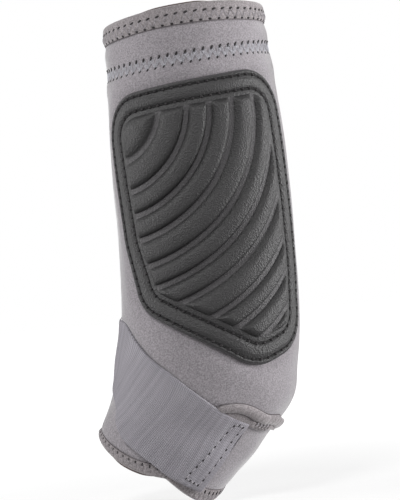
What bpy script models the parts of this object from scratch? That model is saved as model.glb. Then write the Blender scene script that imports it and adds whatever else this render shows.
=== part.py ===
"""Wrap boot for a horse's lower leg, modelled at real size in metres.

The boot is shown closed, as it sits on the leg. +Z runs up the cannon bone, -X is the
front, -Y the inner side with the strike pad and +Y the outer side with the closures.
Flat patterns are wrapped on the leg. In a pattern the first axis runs round the leg from
the middle of the inner side towards the back, the second up it and the third out of it.
Angles round the leg are in degrees: 0 is the back, 180 the front fold, 270 the inner side.
"""

import math
from collections import namedtuple

import bmesh
import bpy
from mathutils import Matrix, Vector

# The leg under the outer fabric, in seven sections from the lower mouth to the rim
MOUTH_HEIGHT = 0.021
MOUTH_SHIFT = -0.0370
MOUTH_HALF_WIDTH = 0.0366
MOUTH_HALF_DEPTH = 0.031
MOUTH_TILT = 33.0
PASTERN_HEIGHT = 0.042
PASTERN_SHIFT = -0.0210
PASTERN_HALF_WIDTH = 0.0429
PASTERN_HALF_DEPTH = 0.037
PASTERN_TILT = 18.5
ERGOT_HEIGHT = 0.058
ERGOT_SHIFT = -0.0095
ERGOT_HALF_WIDTH = 0.0494
ERGOT_HALF_DEPTH = 0.042
ERGOT_TILT = 10.0
FETLOCK_HEIGHT = 0.080
FETLOCK_SHIFT = -0.0038
FETLOCK_HALF_WIDTH = 0.0512
FETLOCK_HALF_DEPTH = 0.0435
FETLOCK_TILT = 3.0
TENDON_HEIGHT = 0.110
TENDON_SHIFT = -0.0002
TENDON_HALF_WIDTH = 0.0498
TENDON_HALF_DEPTH = 0.041
CANNON_HEIGHT = 0.200
CANNON_SHIFT = 0.0006
CANNON_HALF_WIDTH = 0.0491
CANNON_HALF_DEPTH = 0.0398
RIM_HEIGHT = 0.272
RIM_SHIFT = -0.0012
RIM_HALF_WIDTH = 0.0442
RIM_HALF_DEPTH = 0.0385
UPRIGHT_TILT = 0.0

# Where the patterns lie round the leg
FRONT_FOLD = 180.0
INNER_SIDE = 270.0
FOLD_HALF_GAP = 0.25
WRAP_RADIUS = 0.046

# Edges of the boot
RIM_RISE = 0.003
RIM_ARCH = 0.0024
MOUTH_EDGE = 0.0205
LOBE_DIP = 0.0062
LOBE_START = 6.0
LOBE_TURN = 94.0
SLING_DIP = 0.0017
SLING_TURN = 65.0
TAIL_ANGLE = 420.0
FLAP_EDGE_ANGLE = 63.0
SEAM_FOOT_ANGLE = 278.0
SEAM_TOP_ANGLE = 287.0
SEAM_GAP_ANGLE = 0.6
DART_HEIGHT = 0.0510
DART_RISE = 0.0041
DART_CREST_ANGLE = 295.0
DART_LEVEL_ANGLE = 326.0

# Layers, from the leg outwards
NEOPRENE = 0.0045
LINING = 0.0015
LAYER_GAP = 0.0004
SEAT_GAP = 0.0005
BINDING = 0.0010
BINDING_PUFF = 0.0007
RIM_BINDING_REACH = 0.0103
MOUTH_BINDING_REACH = 0.0070
EDGE_BINDING_REACH = 0.0070

# Dart binding and seam tape over the joint of the sling lobe
DART_BINDING_WIDTH = 0.0068
DART_BINDING_DEPTH = 0.0026
DART_TAB_DEPTH = 0.0032
DART_START_ANGLE = 288.0
DART_TAB_ANGLE = 346.0
DART_END_ANGLE = 367.0
DART_STRAP_CLEARANCE = 0.0012
ROLL_SHARES = (
    (0.0, 0.0), (0.0, 0.45), (0.15, 0.8), (0.5, 1.0), (0.85, 0.8), (1.0, 0.45), (1.0, 0.0),
)
SEAM_TAPE = 0.0008
SEAM_TAPE_WIDTH = 0.016
SEAM_TAPE_END_ANGLE = 409.0

# Strike pad
PAD_WIDTH = 0.1165
PAD_LEFT = -0.0583
PAD_BOTTOM = 0.0746
PAD_RIM_DROP = 0.0325
PAD_HEIGHT = RIM_HEIGHT - PAD_RIM_DROP - PAD_BOTTOM
PAD_BASE = 0.0012
PAD_FIELD_INSET = 0.0135
PAD_CORNER_SHARES = (
    (0.000, 0.922, 0.215),
    (0.075, 0.433, 0.360),
    (0.172, 0.216, 0.210),
    (0.700, 0.000, 0.200),
    (0.990, 0.075, 0.200),
    (1.000, 0.306, 0.360),
    (0.960, 1.000, 0.200),
)
CORNER_STEPS = 4

# Ribs of the pad's moulding, as narrowed rings about a place over the field's upper front corner
MOULDING = 0.0006
RIB_CROWN = 0.0020
RIB_LAND = 0.0032
RIB_SLOPE = 0.0026
RIB_CENTRE_RISE = 0.007
RIB_NARROWING = 0.87
RIB_REACH = 0.1544
RIB_REACH_SHARES = (
    0.194, 0.304, 0.391, 0.479, 0.576, 0.659, 0.742, 0.839, 0.916, 1.000, 1.085, 1.170, 1.255,
)
RIB_CORE_RADIUS = 0.004
RIB_FAN_START = 8.0
RIB_FAN_TURN = 112.0
RIB_FAN_STEPS = 20
RIB_FADE = 0.0045

# Elastic sling strap, from its sewn end on the sling lobe to its free end on the flap
STRAP = 0.0018
STRAP_RISE = 0.100
STRAP_FOOT = 0.0214
STRAP_SEWN_ANGLE = 312.0
STRAP_TURN = 222.0
STRAP_PATH_SHARES = (
    (0.000, 0.000, 0.286),
    (0.077, 0.000, 0.308),
    (0.144, 0.002, 0.347),
    (0.230, 0.022, 0.432),
    (0.300, 0.040, 0.530),
    (0.358, 0.062, 0.616),
    (0.432, 0.160, 0.752),
    (0.492, 0.290, 0.852),
    (0.550, 0.375, 0.864),
    (0.595, 0.430, 0.870),
    (0.650, 0.500, 0.915),
    (0.720, 0.620, 1.075),
    (0.797, 0.735, 1.238),
    (1.000, 0.900, 1.420),
)
STRAP_STEP_TOP = 0.046
STRAP_STEP_FOOT = 0.032
STRAP_LAND_LENGTH = 0.008

# Hook and loop
LOOP = 0.0009
HOOK = 0.0007
PATCH_MARGIN = 0.004
PATCH_CORNER = 0.003
SQUARE_CORNER = 0.0005
STRAP_PATCH_LENGTH = 0.026

# Closure tabs
TAB = 0.0014
TAB_WIDTH = 0.038
TAB_CORNER = 0.010
LOWEST_TAB_HEIGHT = 0.105
TAB_RIM_DROP = 0.037
TAB_NAMES = ("lower", "middle", "upper")
TAB_HINGE_ANGLE = 61.5
TAB_HINGE_HALF_GAP = 0.5
TAB_TIP_ANGLE = 24.0
TAB_PATCH_END_ANGLE = 50.0
TAB_STEP_LENGTH = 0.0072
TAB_ANCHOR_FOOT = 0.0024
HINGE_CLEARANCE = 0.0008
HOOK_OUT = SEAT_GAP + LOOP + LAYER_GAP
TAB_OUT = HOOK_OUT + HOOK + LAYER_GAP

# How finely a pattern is creased as it is wrapped
FOLD_ANGLE = 9.0
LOW_ROW = 0.010
HIGH_ROW = 0.027
SNAP = 0.00002

Finish = namedtuple("Finish", "red green blue roughness")
FABRIC = Finish(0.23, 0.21, 0.23, 0.95)
LINING_FABRIC = Finish(0.07, 0.07, 0.075, 0.95)
TAPE = Finish(0.19, 0.175, 0.185, 0.9)
LEATHERETTE = Finish(0.060, 0.058, 0.062, 0.55)
ELASTIC = Finish(0.24, 0.23, 0.26, 0.85)
LOOP_PILE = Finish(0.20, 0.19, 0.20, 1.0)
HOOK_PILE = Finish(0.03, 0.03, 0.03, 0.7)

Section = namedtuple("Section", "height shift half_width half_depth tilt")
LEG = (
    Section(MOUTH_HEIGHT, MOUTH_SHIFT, MOUTH_HALF_WIDTH, MOUTH_HALF_DEPTH, MOUTH_TILT),
    Section(PASTERN_HEIGHT, PASTERN_SHIFT, PASTERN_HALF_WIDTH, PASTERN_HALF_DEPTH, PASTERN_TILT),
    Section(ERGOT_HEIGHT, ERGOT_SHIFT, ERGOT_HALF_WIDTH, ERGOT_HALF_DEPTH, ERGOT_TILT),
    Section(FETLOCK_HEIGHT, FETLOCK_SHIFT, FETLOCK_HALF_WIDTH, FETLOCK_HALF_DEPTH, FETLOCK_TILT),
    Section(TENDON_HEIGHT, TENDON_SHIFT, TENDON_HALF_WIDTH, TENDON_HALF_DEPTH, UPRIGHT_TILT),
    Section(CANNON_HEIGHT, CANNON_SHIFT, CANNON_HALF_WIDTH, CANNON_HALF_DEPTH, UPRIGHT_TILT),
    Section(RIM_HEIGHT, RIM_SHIFT, RIM_HALF_WIDTH, RIM_HALF_DEPTH, UPRIGHT_TILT),
)


# Curves and steps


def smooth(points, at):
    """Read a smooth curve through points, each a place and a value, running straight past its ends."""
    slopes = [(b[1] - a[1]) / (b[0] - a[0]) for a, b in zip(points, points[1:])]
    inner = [(a + b) / 2 for a, b in zip(slopes, slopes[1:])]
    tangents = [slopes[0]] + inner + [slopes[-1]]
    if at <= points[0][0]:
        return points[0][1] + tangents[0] * (at - points[0][0])
    if at >= points[-1][0]:
        return points[-1][1] + tangents[-1] * (at - points[-1][0])
    index = max(i for i, point in enumerate(points[:-1]) if point[0] <= at)
    start, end = points[index], points[index + 1]
    span = end[0] - start[0]
    t = (at - start[0]) / span
    rise = t * t * (3 - 2 * t)
    leave = t * (1 - t) * (1 - t) * span * tangents[index]
    arrive = t * t * (t - 1) * span * tangents[index + 1]
    return start[1] * (1 - rise) + end[1] * rise + leave + arrive


def step(start, end, at):
    """Go smoothly from 0 at start to 1 at end."""
    share = min(max((at - start) / (end - start), 0.0), 1.0)
    return share * share * (3 - 2 * share)


# The leg's surface and the way a pattern lies on it


def leg_value(height, name):
    """One size of the leg's section at a height."""
    return smooth([(section.height, getattr(section, name)) for section in LEG], height)


def leg_point(angle, height, out):
    """A point at an angle round the leg, on the section at a height, out from the fabric's face."""
    tilt = math.radians(leg_value(height, "tilt"))
    along = (leg_value(height, "half_width") + out) * math.cos(math.radians(angle))
    across = (leg_value(height, "half_depth") + out) * math.sin(math.radians(angle))
    shift = leg_value(height, "shift")
    return Vector((shift + along * math.cos(tilt), across, height - along * math.sin(tilt)))


def around(angle):
    """Pattern place of an angle round the leg."""
    return math.radians(angle - INNER_SIDE) * WRAP_RADIUS


def angle_at(place):
    """Angle round the leg of a pattern place."""
    return INNER_SIDE + math.degrees(place / WRAP_RADIUS)


def turn(length):
    """Angle round the leg that a pattern length takes up."""
    return math.degrees(length / WRAP_RADIUS)


def on_leg(point):
    """Lay a pattern point on the leg."""
    return leg_point(angle_at(point.x), point.y, point.z)


def rim(angle):
    """Height of the rim, which stands higher at the back and arches over both sides."""
    place = math.radians(angle)
    return RIM_HEIGHT + RIM_RISE * math.cos(place) + RIM_ARCH * math.sin(place) ** 2


def mouth(angle):
    """Height of the lower edge, where first the front lobe and then the sling lobe dips."""
    lobe = min(max((abs(angle - FRONT_FOLD) - LOBE_START) / LOBE_TURN, 0), 1)
    sling = min(max((angle - SEAM_FOOT_ANGLE) / SLING_TURN, 0), 1)
    return MOUTH_EDGE - LOBE_DIP * math.sin(math.pi * lobe) - SLING_DIP * math.sin(math.pi * sling)


def dart(angle):
    """Height of the joint between the body and the sling lobe."""
    return DART_HEIGHT + DART_RISE * (1 - step(DART_CREST_ANGLE, DART_LEVEL_ANGLE, angle))


def strap_edges(angle):
    """Lower and upper edge of the sling strap at an angle round the leg."""
    share = (STRAP_SEWN_ANGLE - angle) / STRAP_TURN
    low = smooth([(row[0], row[1]) for row in STRAP_PATH_SHARES], share)
    high = smooth([(row[0], row[2]) for row in STRAP_PATH_SHARES], share)
    return STRAP_FOOT + low * STRAP_RISE, STRAP_FOOT + high * STRAP_RISE


def fold_angles(start, end):
    """The start, every crease between and the end."""
    first = math.floor(start / FOLD_ANGLE) + 1
    last = math.ceil(end / FOLD_ANGLE)
    return [start] + [index * FOLD_ANGLE for index in range(first, last)] + [end]


def fold_rows():
    """Heights of the creases that run round the leg, closer below the fetlock."""
    low = [index * LOW_ROW for index in range(1, math.ceil(FETLOCK_HEIGHT / LOW_ROW) + 1)]
    count = math.ceil((RIM_HEIGHT - low[-1]) / HIGH_ROW)
    return low + [low[-1] + index * HIGH_ROW for index in range(1, count)]


# Making one solid


def finish_mesh(name, finish, mesh):
    """Close a mesh's work and give it an object with a material of its own."""
    bmesh.ops.recalc_face_normals(mesh, faces=mesh.faces)
    if mesh.calc_volume(signed=True) < 0:
        bmesh.ops.reverse_faces(mesh, faces=mesh.faces)
    data = bpy.data.meshes.new(name)
    mesh.to_mesh(data)
    mesh.free()
    material = bpy.data.materials.new(name)
    material.use_nodes = True
    surface = material.node_tree.nodes["Principled BSDF"]
    surface.inputs["Base Color"].default_value = (finish.red, finish.green, finish.blue, 1)
    surface.inputs["Roughness"].default_value = finish.roughness
    surface.inputs["Metallic"].default_value = 0
    data.materials.append(material)
    thing = bpy.data.objects.new(name, data)
    bpy.context.scene.collection.objects.link(thing)
    return thing


def crease(mesh, places, axis):
    """Cut the whole mesh across at places along an axis, keeping both sides."""
    for place in places:
        geometry = mesh.verts[:] + mesh.edges[:] + mesh.faces[:]
        bmesh.ops.bisect_plane(
            mesh, geom=geometry, dist=SNAP, plane_co=axis * place, plane_no=axis
        )


def wrapped(name, finish, section, sweep, place, rows=True, own_creases=()):
    """Sweep a flat section through the pattern, crease it and lay it in place."""
    mesh = bmesh.new()
    face = mesh.faces.new([mesh.verts.new(point) for point in section])
    grown = bmesh.ops.extrude_face_region(mesh, geom=[face])["geom"]
    moved = [item for item in grown if isinstance(item, bmesh.types.BMVert)]
    bmesh.ops.translate(mesh, verts=moved, vec=sweep)
    low = min(vert.co.x for vert in mesh.verts)
    high = max(vert.co.x for vert in mesh.verts)
    columns = fold_angles(angle_at(low), angle_at(high))[1:-1] + list(own_creases)
    crease(mesh, [around(angle) for angle in columns], Vector((1, 0, 0)))
    if rows:
        crease(mesh, fold_rows(), Vector((0, 1, 0)))
    bmesh.ops.triangulate(mesh, faces=mesh.faces, quad_method="FIXED")
    for vert in mesh.verts:
        vert.co = place(vert.co)
    return finish_mesh(name, finish, mesh)


def panel(name, finish, outline, inner, outer, place=on_leg, own_creases=()):
    """A sheet cut to an outline of angles and heights, between two distances from the leg."""
    section = [Vector((around(angle), height, inner)) for angle, height in outline]
    sweep = Vector((0, 0, outer - inner))
    return wrapped(name, finish, section, sweep, place, own_creases=own_creases)


def band(name, finish, edge, start, end, profile):
    """A profile of reach and distance out, run along an edge from one angle to another."""
    section = [Vector((around(start), reach, out)) for reach, out in profile]

    def place(point):
        angle = angle_at(point.x)
        return leg_point(angle, edge(angle) + point.y, point.z)

    sweep = Vector((around(end) - around(start), 0, 0))
    return wrapped(name, finish, section, sweep, place, rows=False)


def fold_profile(reach, side):
    """A tape folded over the edge of both layers, reaching up (1) or down (-1) from the edge."""
    inside = -(NEOPRENE + LAYER_GAP + LINING + LAYER_GAP)
    points = (
        (reach, LAYER_GAP),
        (reach, LAYER_GAP + BINDING),
        (reach / 2, LAYER_GAP + BINDING + BINDING_PUFF),
        (BINDING, LAYER_GAP + BINDING),
        (0, 0),
        (0, inside),
        (BINDING, inside - BINDING),
        (reach, inside - BINDING),
        (reach, inside),
        (BINDING, inside),
        (BINDING, LAYER_GAP),
    )
    return [(side * along, out) for along, out in points]


def upright_binding(name, angle, side, low, high):
    """A folded tape that runs up a free edge of both layers, its reach turned to one side."""
    profile = fold_profile(EDGE_BINDING_REACH, side)
    section = [Vector((around(angle) + along, low, out)) for along, out in profile]
    return wrapped(name, TAPE, section, Vector((0, high - low, 0)), on_leg)


# Rounded outlines


def inset_corners(corners, inset):
    """Move the sides of a convex outline inwards and find its new corners."""
    moved = []
    for before, here, after in zip([corners[-1]] + corners[:-1], corners, corners[1:] + corners[:1]):
        arrive = (here - before).normalized()
        leave = (after - here).normalized()
        normal = Vector((-arrive.y, arrive.x))
        bend = arrive.angle_signed(leave)
        slide = inset * math.tan(-bend / 2)
        moved.append(here + normal * inset - arrive * slide)
    return moved


def rounded(corners, radii):
    """Round each corner of a convex outline with an arc."""
    points = []
    for before, here, after, radius in zip(
        [corners[-1]] + corners[:-1], corners, corners[1:] + corners[:1], radii
    ):
        back = (before - here).normalized()
        ahead = (after - here).normalized()
        half = back.angle(ahead) / 2
        middle = here + (back + ahead).normalized() * (radius / math.sin(half))
        start = here + back * (radius / math.tan(half)) - middle
        sweep = start.angle_signed(here + ahead * (radius / math.tan(half)) - middle)
        for index in range(CORNER_STEPS + 1):
            points.append(middle + Matrix.Rotation(-sweep * index / CORNER_STEPS, 2) @ start)
    return points


def box_outline(start, end, low, high, start_radius, end_radius):
    """A rectangle between two angles and two heights with rounded ends, as angles and heights."""
    corners = [
        Vector((around(start), low)),
        Vector((around(end), low)),
        Vector((around(end), high)),
        Vector((around(start), high)),
    ]
    radii = (start_radius, end_radius, end_radius, start_radius)
    return [(angle_at(point.x), point.y) for point in rounded(corners, radii)]


# The neoprene body


def edge_line(edge, start, end, offset):
    """Points along an edge of the boot, moved up by an offset."""
    return [(angle, edge(angle) + offset) for angle in fold_angles(start, end)]


def body_outline(first, last):
    """Inner panel: from the front fold round the inner side and the back to the tail."""
    hem = BINDING + LAYER_GAP
    lobe = edge_line(mouth, first, SEAM_FOOT_ANGLE, hem)
    joint = edge_line(dart, SEAM_TOP_ANGLE, last, LAYER_GAP / 2)
    top = edge_line(rim, first, last, -hem)
    return lobe + joint + top[::-1]


def sling_outline(last):
    """Sling lobe: below the dart, from the seam under the strap to the tail."""
    hem = BINDING + LAYER_GAP
    low = edge_line(mouth, SEAM_FOOT_ANGLE + SEAM_GAP_ANGLE, last, hem)
    high = edge_line(dart, SEAM_TOP_ANGLE + SEAM_GAP_ANGLE, last, -LAYER_GAP / 2)
    return low + high[::-1]


def flap_outline(first, last):
    """Closure flap: from its free edge round the outer side to the front fold."""
    hem = BINDING + LAYER_GAP
    low = edge_line(mouth, first, last, hem)
    high = edge_line(rim, first, last, -hem)
    return low + high[::-1]


def make_layers(name, outline):
    """The neoprene and the lining under it."""
    lining_out = -NEOPRENE - LAYER_GAP
    return [
        panel("shell_" + name, FABRIC, outline, -NEOPRENE, 0),
        panel("lining_" + name, LINING_FABRIC, outline, lining_out - LINING, lining_out),
    ]


def make_body():
    """The fixed neoprene panels, their linings and the bound edges."""
    hem = turn(BINDING + LAYER_GAP)
    front = FRONT_FOLD + FOLD_HALF_GAP
    tail = TAIL_ANGLE
    make_layers("main", body_outline(front, tail - hem))
    make_layers("sling_lobe", sling_outline(tail - hem))
    rim_profile = fold_profile(RIM_BINDING_REACH, -1)
    mouth_profile = fold_profile(MOUTH_BINDING_REACH, 1)
    seam = SEAM_FOOT_ANGLE + SEAM_GAP_ANGLE / 2
    seam_gap = turn(LAYER_GAP) / 2
    band("rim_binding_main", TAPE, rim, front, tail, rim_profile)
    band("mouth_binding_main", TAPE, mouth, front, seam - seam_gap, mouth_profile)
    band("mouth_binding_sling", TAPE, mouth, seam + seam_gap, tail, mouth_profile)
    low = mouth(tail) + MOUTH_BINDING_REACH + LAYER_GAP
    high = rim(tail) - RIM_BINDING_REACH - LAYER_GAP
    upright_binding("tail_binding", tail, -1, low, high)


def strap_point(point):
    """Lay a pattern point of the strap, lifted over the mouth's binding where it crosses it."""
    lift = LAYER_GAP + BINDING + BINDING_PUFF + LAYER_GAP - SEAT_GAP
    share = 1 - step(STRAP_STEP_FOOT, STRAP_STEP_TOP, point.y)
    return leg_point(angle_at(point.x), point.y, point.z + lift * share)


def make_dart():
    """The rolled binding along the dart with its proud tab at the back, and the tape past it."""
    half = DART_BINDING_WIDTH / 2

    def place(point):
        angle = angle_at(point.x)
        low = dart(angle) - half
        if angle < STRAP_SEWN_ANGLE + FOLD_ANGLE:
            low = max(low, strap_edges(angle)[1] + DART_STRAP_CLEARANCE)
        high = dart(angle) + half
        share = point.y / DART_BINDING_WIDTH
        growth = step(DART_TAB_ANGLE, DART_END_ANGLE, angle)
        depth = DART_BINDING_DEPTH + (DART_TAB_DEPTH - DART_BINDING_DEPTH) * growth
        out = SEAT_GAP + point.z / DART_BINDING_DEPTH * depth
        return leg_point(angle, low + (high - low) * share, out)

    profile = [(a * DART_BINDING_WIDTH, b * DART_BINDING_DEPTH) for a, b in ROLL_SHARES]
    section = [Vector((around(DART_START_ANGLE), reach, out)) for reach, out in profile]
    sweep = Vector((around(DART_END_ANGLE) - around(DART_START_ANGLE), 0, 0))
    wrapped("dart_binding", TAPE, section, sweep, place, rows=False)
    start = DART_END_ANGLE + turn(LAYER_GAP)
    low = edge_line(dart, start, SEAM_TAPE_END_ANGLE, -SEAM_TAPE_WIDTH / 2)
    high = edge_line(dart, start, SEAM_TAPE_END_ANGLE, SEAM_TAPE_WIDTH / 2)
    panel("sling_seam_tape", TAPE, low + high[::-1], SEAT_GAP, SEAT_GAP + SEAM_TAPE)


# The strike pad


def pad_outline(inset):
    """Corners and radii of the pad's outline, moved in by an inset."""
    corners = []
    for across, up, radius in PAD_CORNER_SHARES:
        corners.append(Vector((PAD_LEFT + across * PAD_WIDTH, PAD_BOTTOM + up * PAD_HEIGHT)))
    radii = [max(row[2] * PAD_WIDTH - inset, PATCH_CORNER) for row in PAD_CORNER_SHARES]
    return inset_corners(corners, inset), radii


def rib_rings(reach):
    """Radius and height of every ring of the ribs, out to a reach."""
    rings = [(RIB_CORE_RADIUS, MOULDING + RIB_CROWN)]
    for share in RIB_REACH_SHARES:
        radius = share * RIB_REACH
        rings.append((radius - RIB_LAND / 2 - RIB_SLOPE, MOULDING + RIB_CROWN))
        rings.append((radius - RIB_LAND / 2, MOULDING))
        rings.append((radius + RIB_LAND / 2, MOULDING))
        rings.append((radius + RIB_LAND / 2 + RIB_SLOPE, MOULDING + RIB_CROWN))
        if radius > reach:
            break
    return rings


def make_moulding(inner):
    """The ribbed field of the pad, drawn flat as a fan of rings, cut out and wrapped."""
    corners, radii = pad_outline(PAD_FIELD_INSET)
    outline = rounded(corners, radii)
    centre = corners[0] + Vector((0, RIB_CENTRE_RISE))
    reach = max((corner - centre).length for corner in corners) / RIB_NARROWING
    mesh = bmesh.new()
    line = [mesh.verts.new((centre.x + ring, centre.y, out)) for ring, out in rib_rings(reach)]
    edges = [mesh.edges.new(pair) for pair in zip(line, line[1:])]
    lift = Matrix.Rotation(math.radians(RIB_FAN_START), 3, "Z")
    pole = (centre.x, centre.y, 0)
    bmesh.ops.rotate(mesh, verts=line, cent=pole, matrix=lift)
    bmesh.ops.spin(
        mesh, geom=line + edges, cent=pole, axis=(0, 0, -1),
        angle=math.radians(RIB_FAN_TURN), steps=RIB_FAN_STEPS,
    )
    for vert in mesh.verts:
        vert.co.x = centre.x + (vert.co.x - centre.x) * RIB_NARROWING
    sides = []
    for here, after in zip(outline, outline[1:] + outline[:1]):
        ahead = (after - here).normalized()
        sides.append((here, Vector((ahead.y, -ahead.x))))
    for here, outward in sides:
        bmesh.ops.bisect_plane(
            mesh, geom=mesh.verts[:] + mesh.edges[:] + mesh.faces[:], dist=SNAP,
            plane_co=(here.x, here.y, 0), plane_no=(outward.x, outward.y, 0), clear_outer=True,
        )
    for vert in mesh.verts:
        depth = min((here - vert.co.xy).dot(outward) for here, outward in sides)
        vert.co.z = MOULDING + (vert.co.z - MOULDING) * step(0, RIB_FADE, depth)
    grown = bmesh.ops.extrude_face_region(mesh, geom=mesh.faces[:])["geom"]
    for item in grown:
        if isinstance(item, bmesh.types.BMVert):
            item.co.z = 0
    bmesh.ops.triangulate(mesh, faces=mesh.faces)
    for vert in mesh.verts:
        vert.co = leg_point(angle_at(vert.co.x), vert.co.y, vert.co.z + inner)
    finish_mesh("strike_pad_moulding", LEATHERETTE, mesh)


def make_pad():
    """The stitched base of the strike pad and its ribbed moulding."""
    corners, radii = pad_outline(0)
    outline = [(angle_at(point.x), point.y) for point in rounded(corners, radii)]
    panel("strike_pad_base", LEATHERETTE, outline, SEAT_GAP, SEAT_GAP + PAD_BASE)
    make_moulding(SEAT_GAP + PAD_BASE + SEAT_GAP)


# The closure flap


def make_flap():
    """The neoprene flap on the outer side, its lining and its bound edges."""
    hem = turn(BINDING + LAYER_GAP)
    front = FRONT_FOLD - FOLD_HALF_GAP
    edge = FLAP_EDGE_ANGLE
    things = make_layers("flap", flap_outline(edge + hem, front))
    rim_profile = fold_profile(RIM_BINDING_REACH, -1)
    mouth_profile = fold_profile(MOUTH_BINDING_REACH, 1)
    things.append(band("rim_binding_flap", TAPE, rim, edge, front, rim_profile))
    things.append(band("mouth_binding_flap", TAPE, mouth, edge, front, mouth_profile))
    low = mouth(edge) + MOUTH_BINDING_REACH + LAYER_GAP
    high = rim(edge) - RIM_BINDING_REACH - LAYER_GAP
    things.append(upright_binding("flap_edge_binding", edge, 1, low, high))
    return things


# The closure tabs, their anchors on the flap and the hook and loop between


def tab_height(index):
    """Middle height of a tab, spread evenly from the lowest to the one below the rim."""
    highest = RIM_HEIGHT - TAB_RIM_DROP
    return LOWEST_TAB_HEIGHT + index * (highest - LOWEST_TAB_HEIGHT) / (len(TAB_NAMES) - 1)


def make_tab(index):
    """One tab with its hook patch, which peel off together."""
    name = TAB_NAMES[index]
    low = tab_height(index) - TAB_WIDTH / 2
    high = low + TAB_WIDTH
    hinge = TAB_HINGE_ANGLE - TAB_HINGE_HALF_GAP
    outline = box_outline(TAB_TIP_ANGLE, hinge, low, high, TAB_CORNER, SQUARE_CORNER)
    tab = panel(name + "_closure_tab", FABRIC, outline, TAB_OUT, TAB_OUT + TAB)
    tip = TAB_TIP_ANGLE + turn(PATCH_MARGIN)
    patch = (tip, TAB_PATCH_END_ANGLE, low + PATCH_MARGIN, high - PATCH_MARGIN)
    outline = box_outline(*patch, PATCH_CORNER, PATCH_CORNER)
    hook = panel(name + "_hook_patch", HOOK_PILE, outline, HOOK_OUT, HOOK_OUT + HOOK)
    return [tab, hook]


def make_loop_patch(index):
    """The loop patch on the body that a tab's hook patch grips."""
    low = tab_height(index) - TAB_WIDTH / 2
    patch = (TAB_TIP_ANGLE, TAB_PATCH_END_ANGLE, low, low + TAB_WIDTH)
    outline = box_outline(*patch, PATCH_CORNER, PATCH_CORNER)
    panel(TAB_NAMES[index] + "_loop_patch", LOOP_PILE, outline, SEAT_GAP, SEAT_GAP + LOOP)


def make_anchor(index):
    """The sewn root of a tab, which steps down from the flap's bound edge to its face."""
    low = tab_height(index) - TAB_WIDTH / 2
    hinge = TAB_HINGE_ANGLE + TAB_HINGE_HALF_GAP
    step_start = FLAP_EDGE_ANGLE + turn(EDGE_BINDING_REACH + LAYER_GAP)
    step_end = step_start + turn(TAB_STEP_LENGTH)
    sizes = (hinge, step_end + turn(TAB_ANCHOR_FOOT), low, low + TAB_WIDTH)
    outline = box_outline(*sizes, SQUARE_CORNER, PATCH_CORNER)

    def place(point):
        angle = angle_at(point.x)
        drop = step(step_start, step_end, angle)
        return leg_point(angle, point.y, point.z - (TAB_OUT - SEAT_GAP) * drop)

    name = TAB_NAMES[index] + "_tab_anchor"
    return panel(name, FABRIC, outline, TAB_OUT, TAB_OUT + TAB, place)


# The sling strap


def strap_outline(start, end, margin):
    """The strap between two angles, drawn in from its edges by a margin."""
    angles = fold_angles(start, end)
    low = [(angle, strap_edges(angle)[0] + margin) for angle in angles]
    high = [(angle, strap_edges(angle)[1] - margin) for angle in angles]
    return low + high[::-1]


def make_sling_strap():
    """The strap's sewn length, from the sling lobe to the front fold."""
    outline = strap_outline(FRONT_FOLD + FOLD_HALF_GAP, STRAP_SEWN_ANGLE, 0)
    panel("sling_strap", ELASTIC, outline, SEAT_GAP, SEAT_GAP + STRAP, strap_point)


def make_strap_end():
    """The strap's free length over the flap, with the hook patch that holds it."""
    end = STRAP_SEWN_ANGLE - STRAP_TURN
    land_start = strap_patch_end()
    land_end = land_start + turn(STRAP_LAND_LENGTH)

    def place(point):
        angle = angle_at(point.x)
        lift = (TAB_OUT - SEAT_GAP) * (1 - step(land_start, land_end, angle))
        return leg_point(angle, point.y, point.z + lift)

    outline = strap_outline(end, FRONT_FOLD - FOLD_HALF_GAP, 0)
    sizes = (SEAT_GAP, SEAT_GAP + STRAP)
    strap = panel("sling_strap_end", ELASTIC, outline, *sizes, place, own_creases=(land_start,))
    outline = strap_outline(end + turn(PATCH_MARGIN), strap_patch_end(), PATCH_MARGIN)
    hook = panel("sling_strap_hook", HOOK_PILE, outline, HOOK_OUT, HOOK_OUT + HOOK)
    return [strap, hook]


def strap_patch_end():
    """Where the strap's patches end, towards the fold."""
    return STRAP_SEWN_ANGLE - STRAP_TURN + turn(PATCH_MARGIN + STRAP_PATCH_LENGTH)


def make_strap_loop():
    """The loop patch on the flap under the strap's free end."""
    end = STRAP_SEWN_ANGLE - STRAP_TURN
    outline = strap_outline(end + turn(PATCH_MARGIN), strap_patch_end(), PATCH_MARGIN / 2)
    return panel("sling_strap_loop", LOOP_PILE, outline, SEAT_GAP, SEAT_GAP + LOOP)


# Joint axes


def axis_at(name, foot, top, holder=None):
    """An empty whose Z axis is a joint's axis."""
    empty = bpy.data.objects.new(name, None)
    bpy.context.scene.collection.objects.link(empty)
    rotation = (top - foot).to_track_quat("Z", "Y").to_matrix().to_4x4()
    place = Matrix.Translation(foot) @ rotation
    if holder is not None:
        empty.parent = holder
        empty.matrix_parent_inverse = holder.matrix_basis.inverted()
    empty.matrix_basis = place
    return empty


def hang(things, empty):
    """Fix finished pieces to a joint's axis where they are."""
    for thing in things:
        thing.parent = empty
        thing.matrix_parent_inverse = empty.matrix_basis.inverted()


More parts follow.
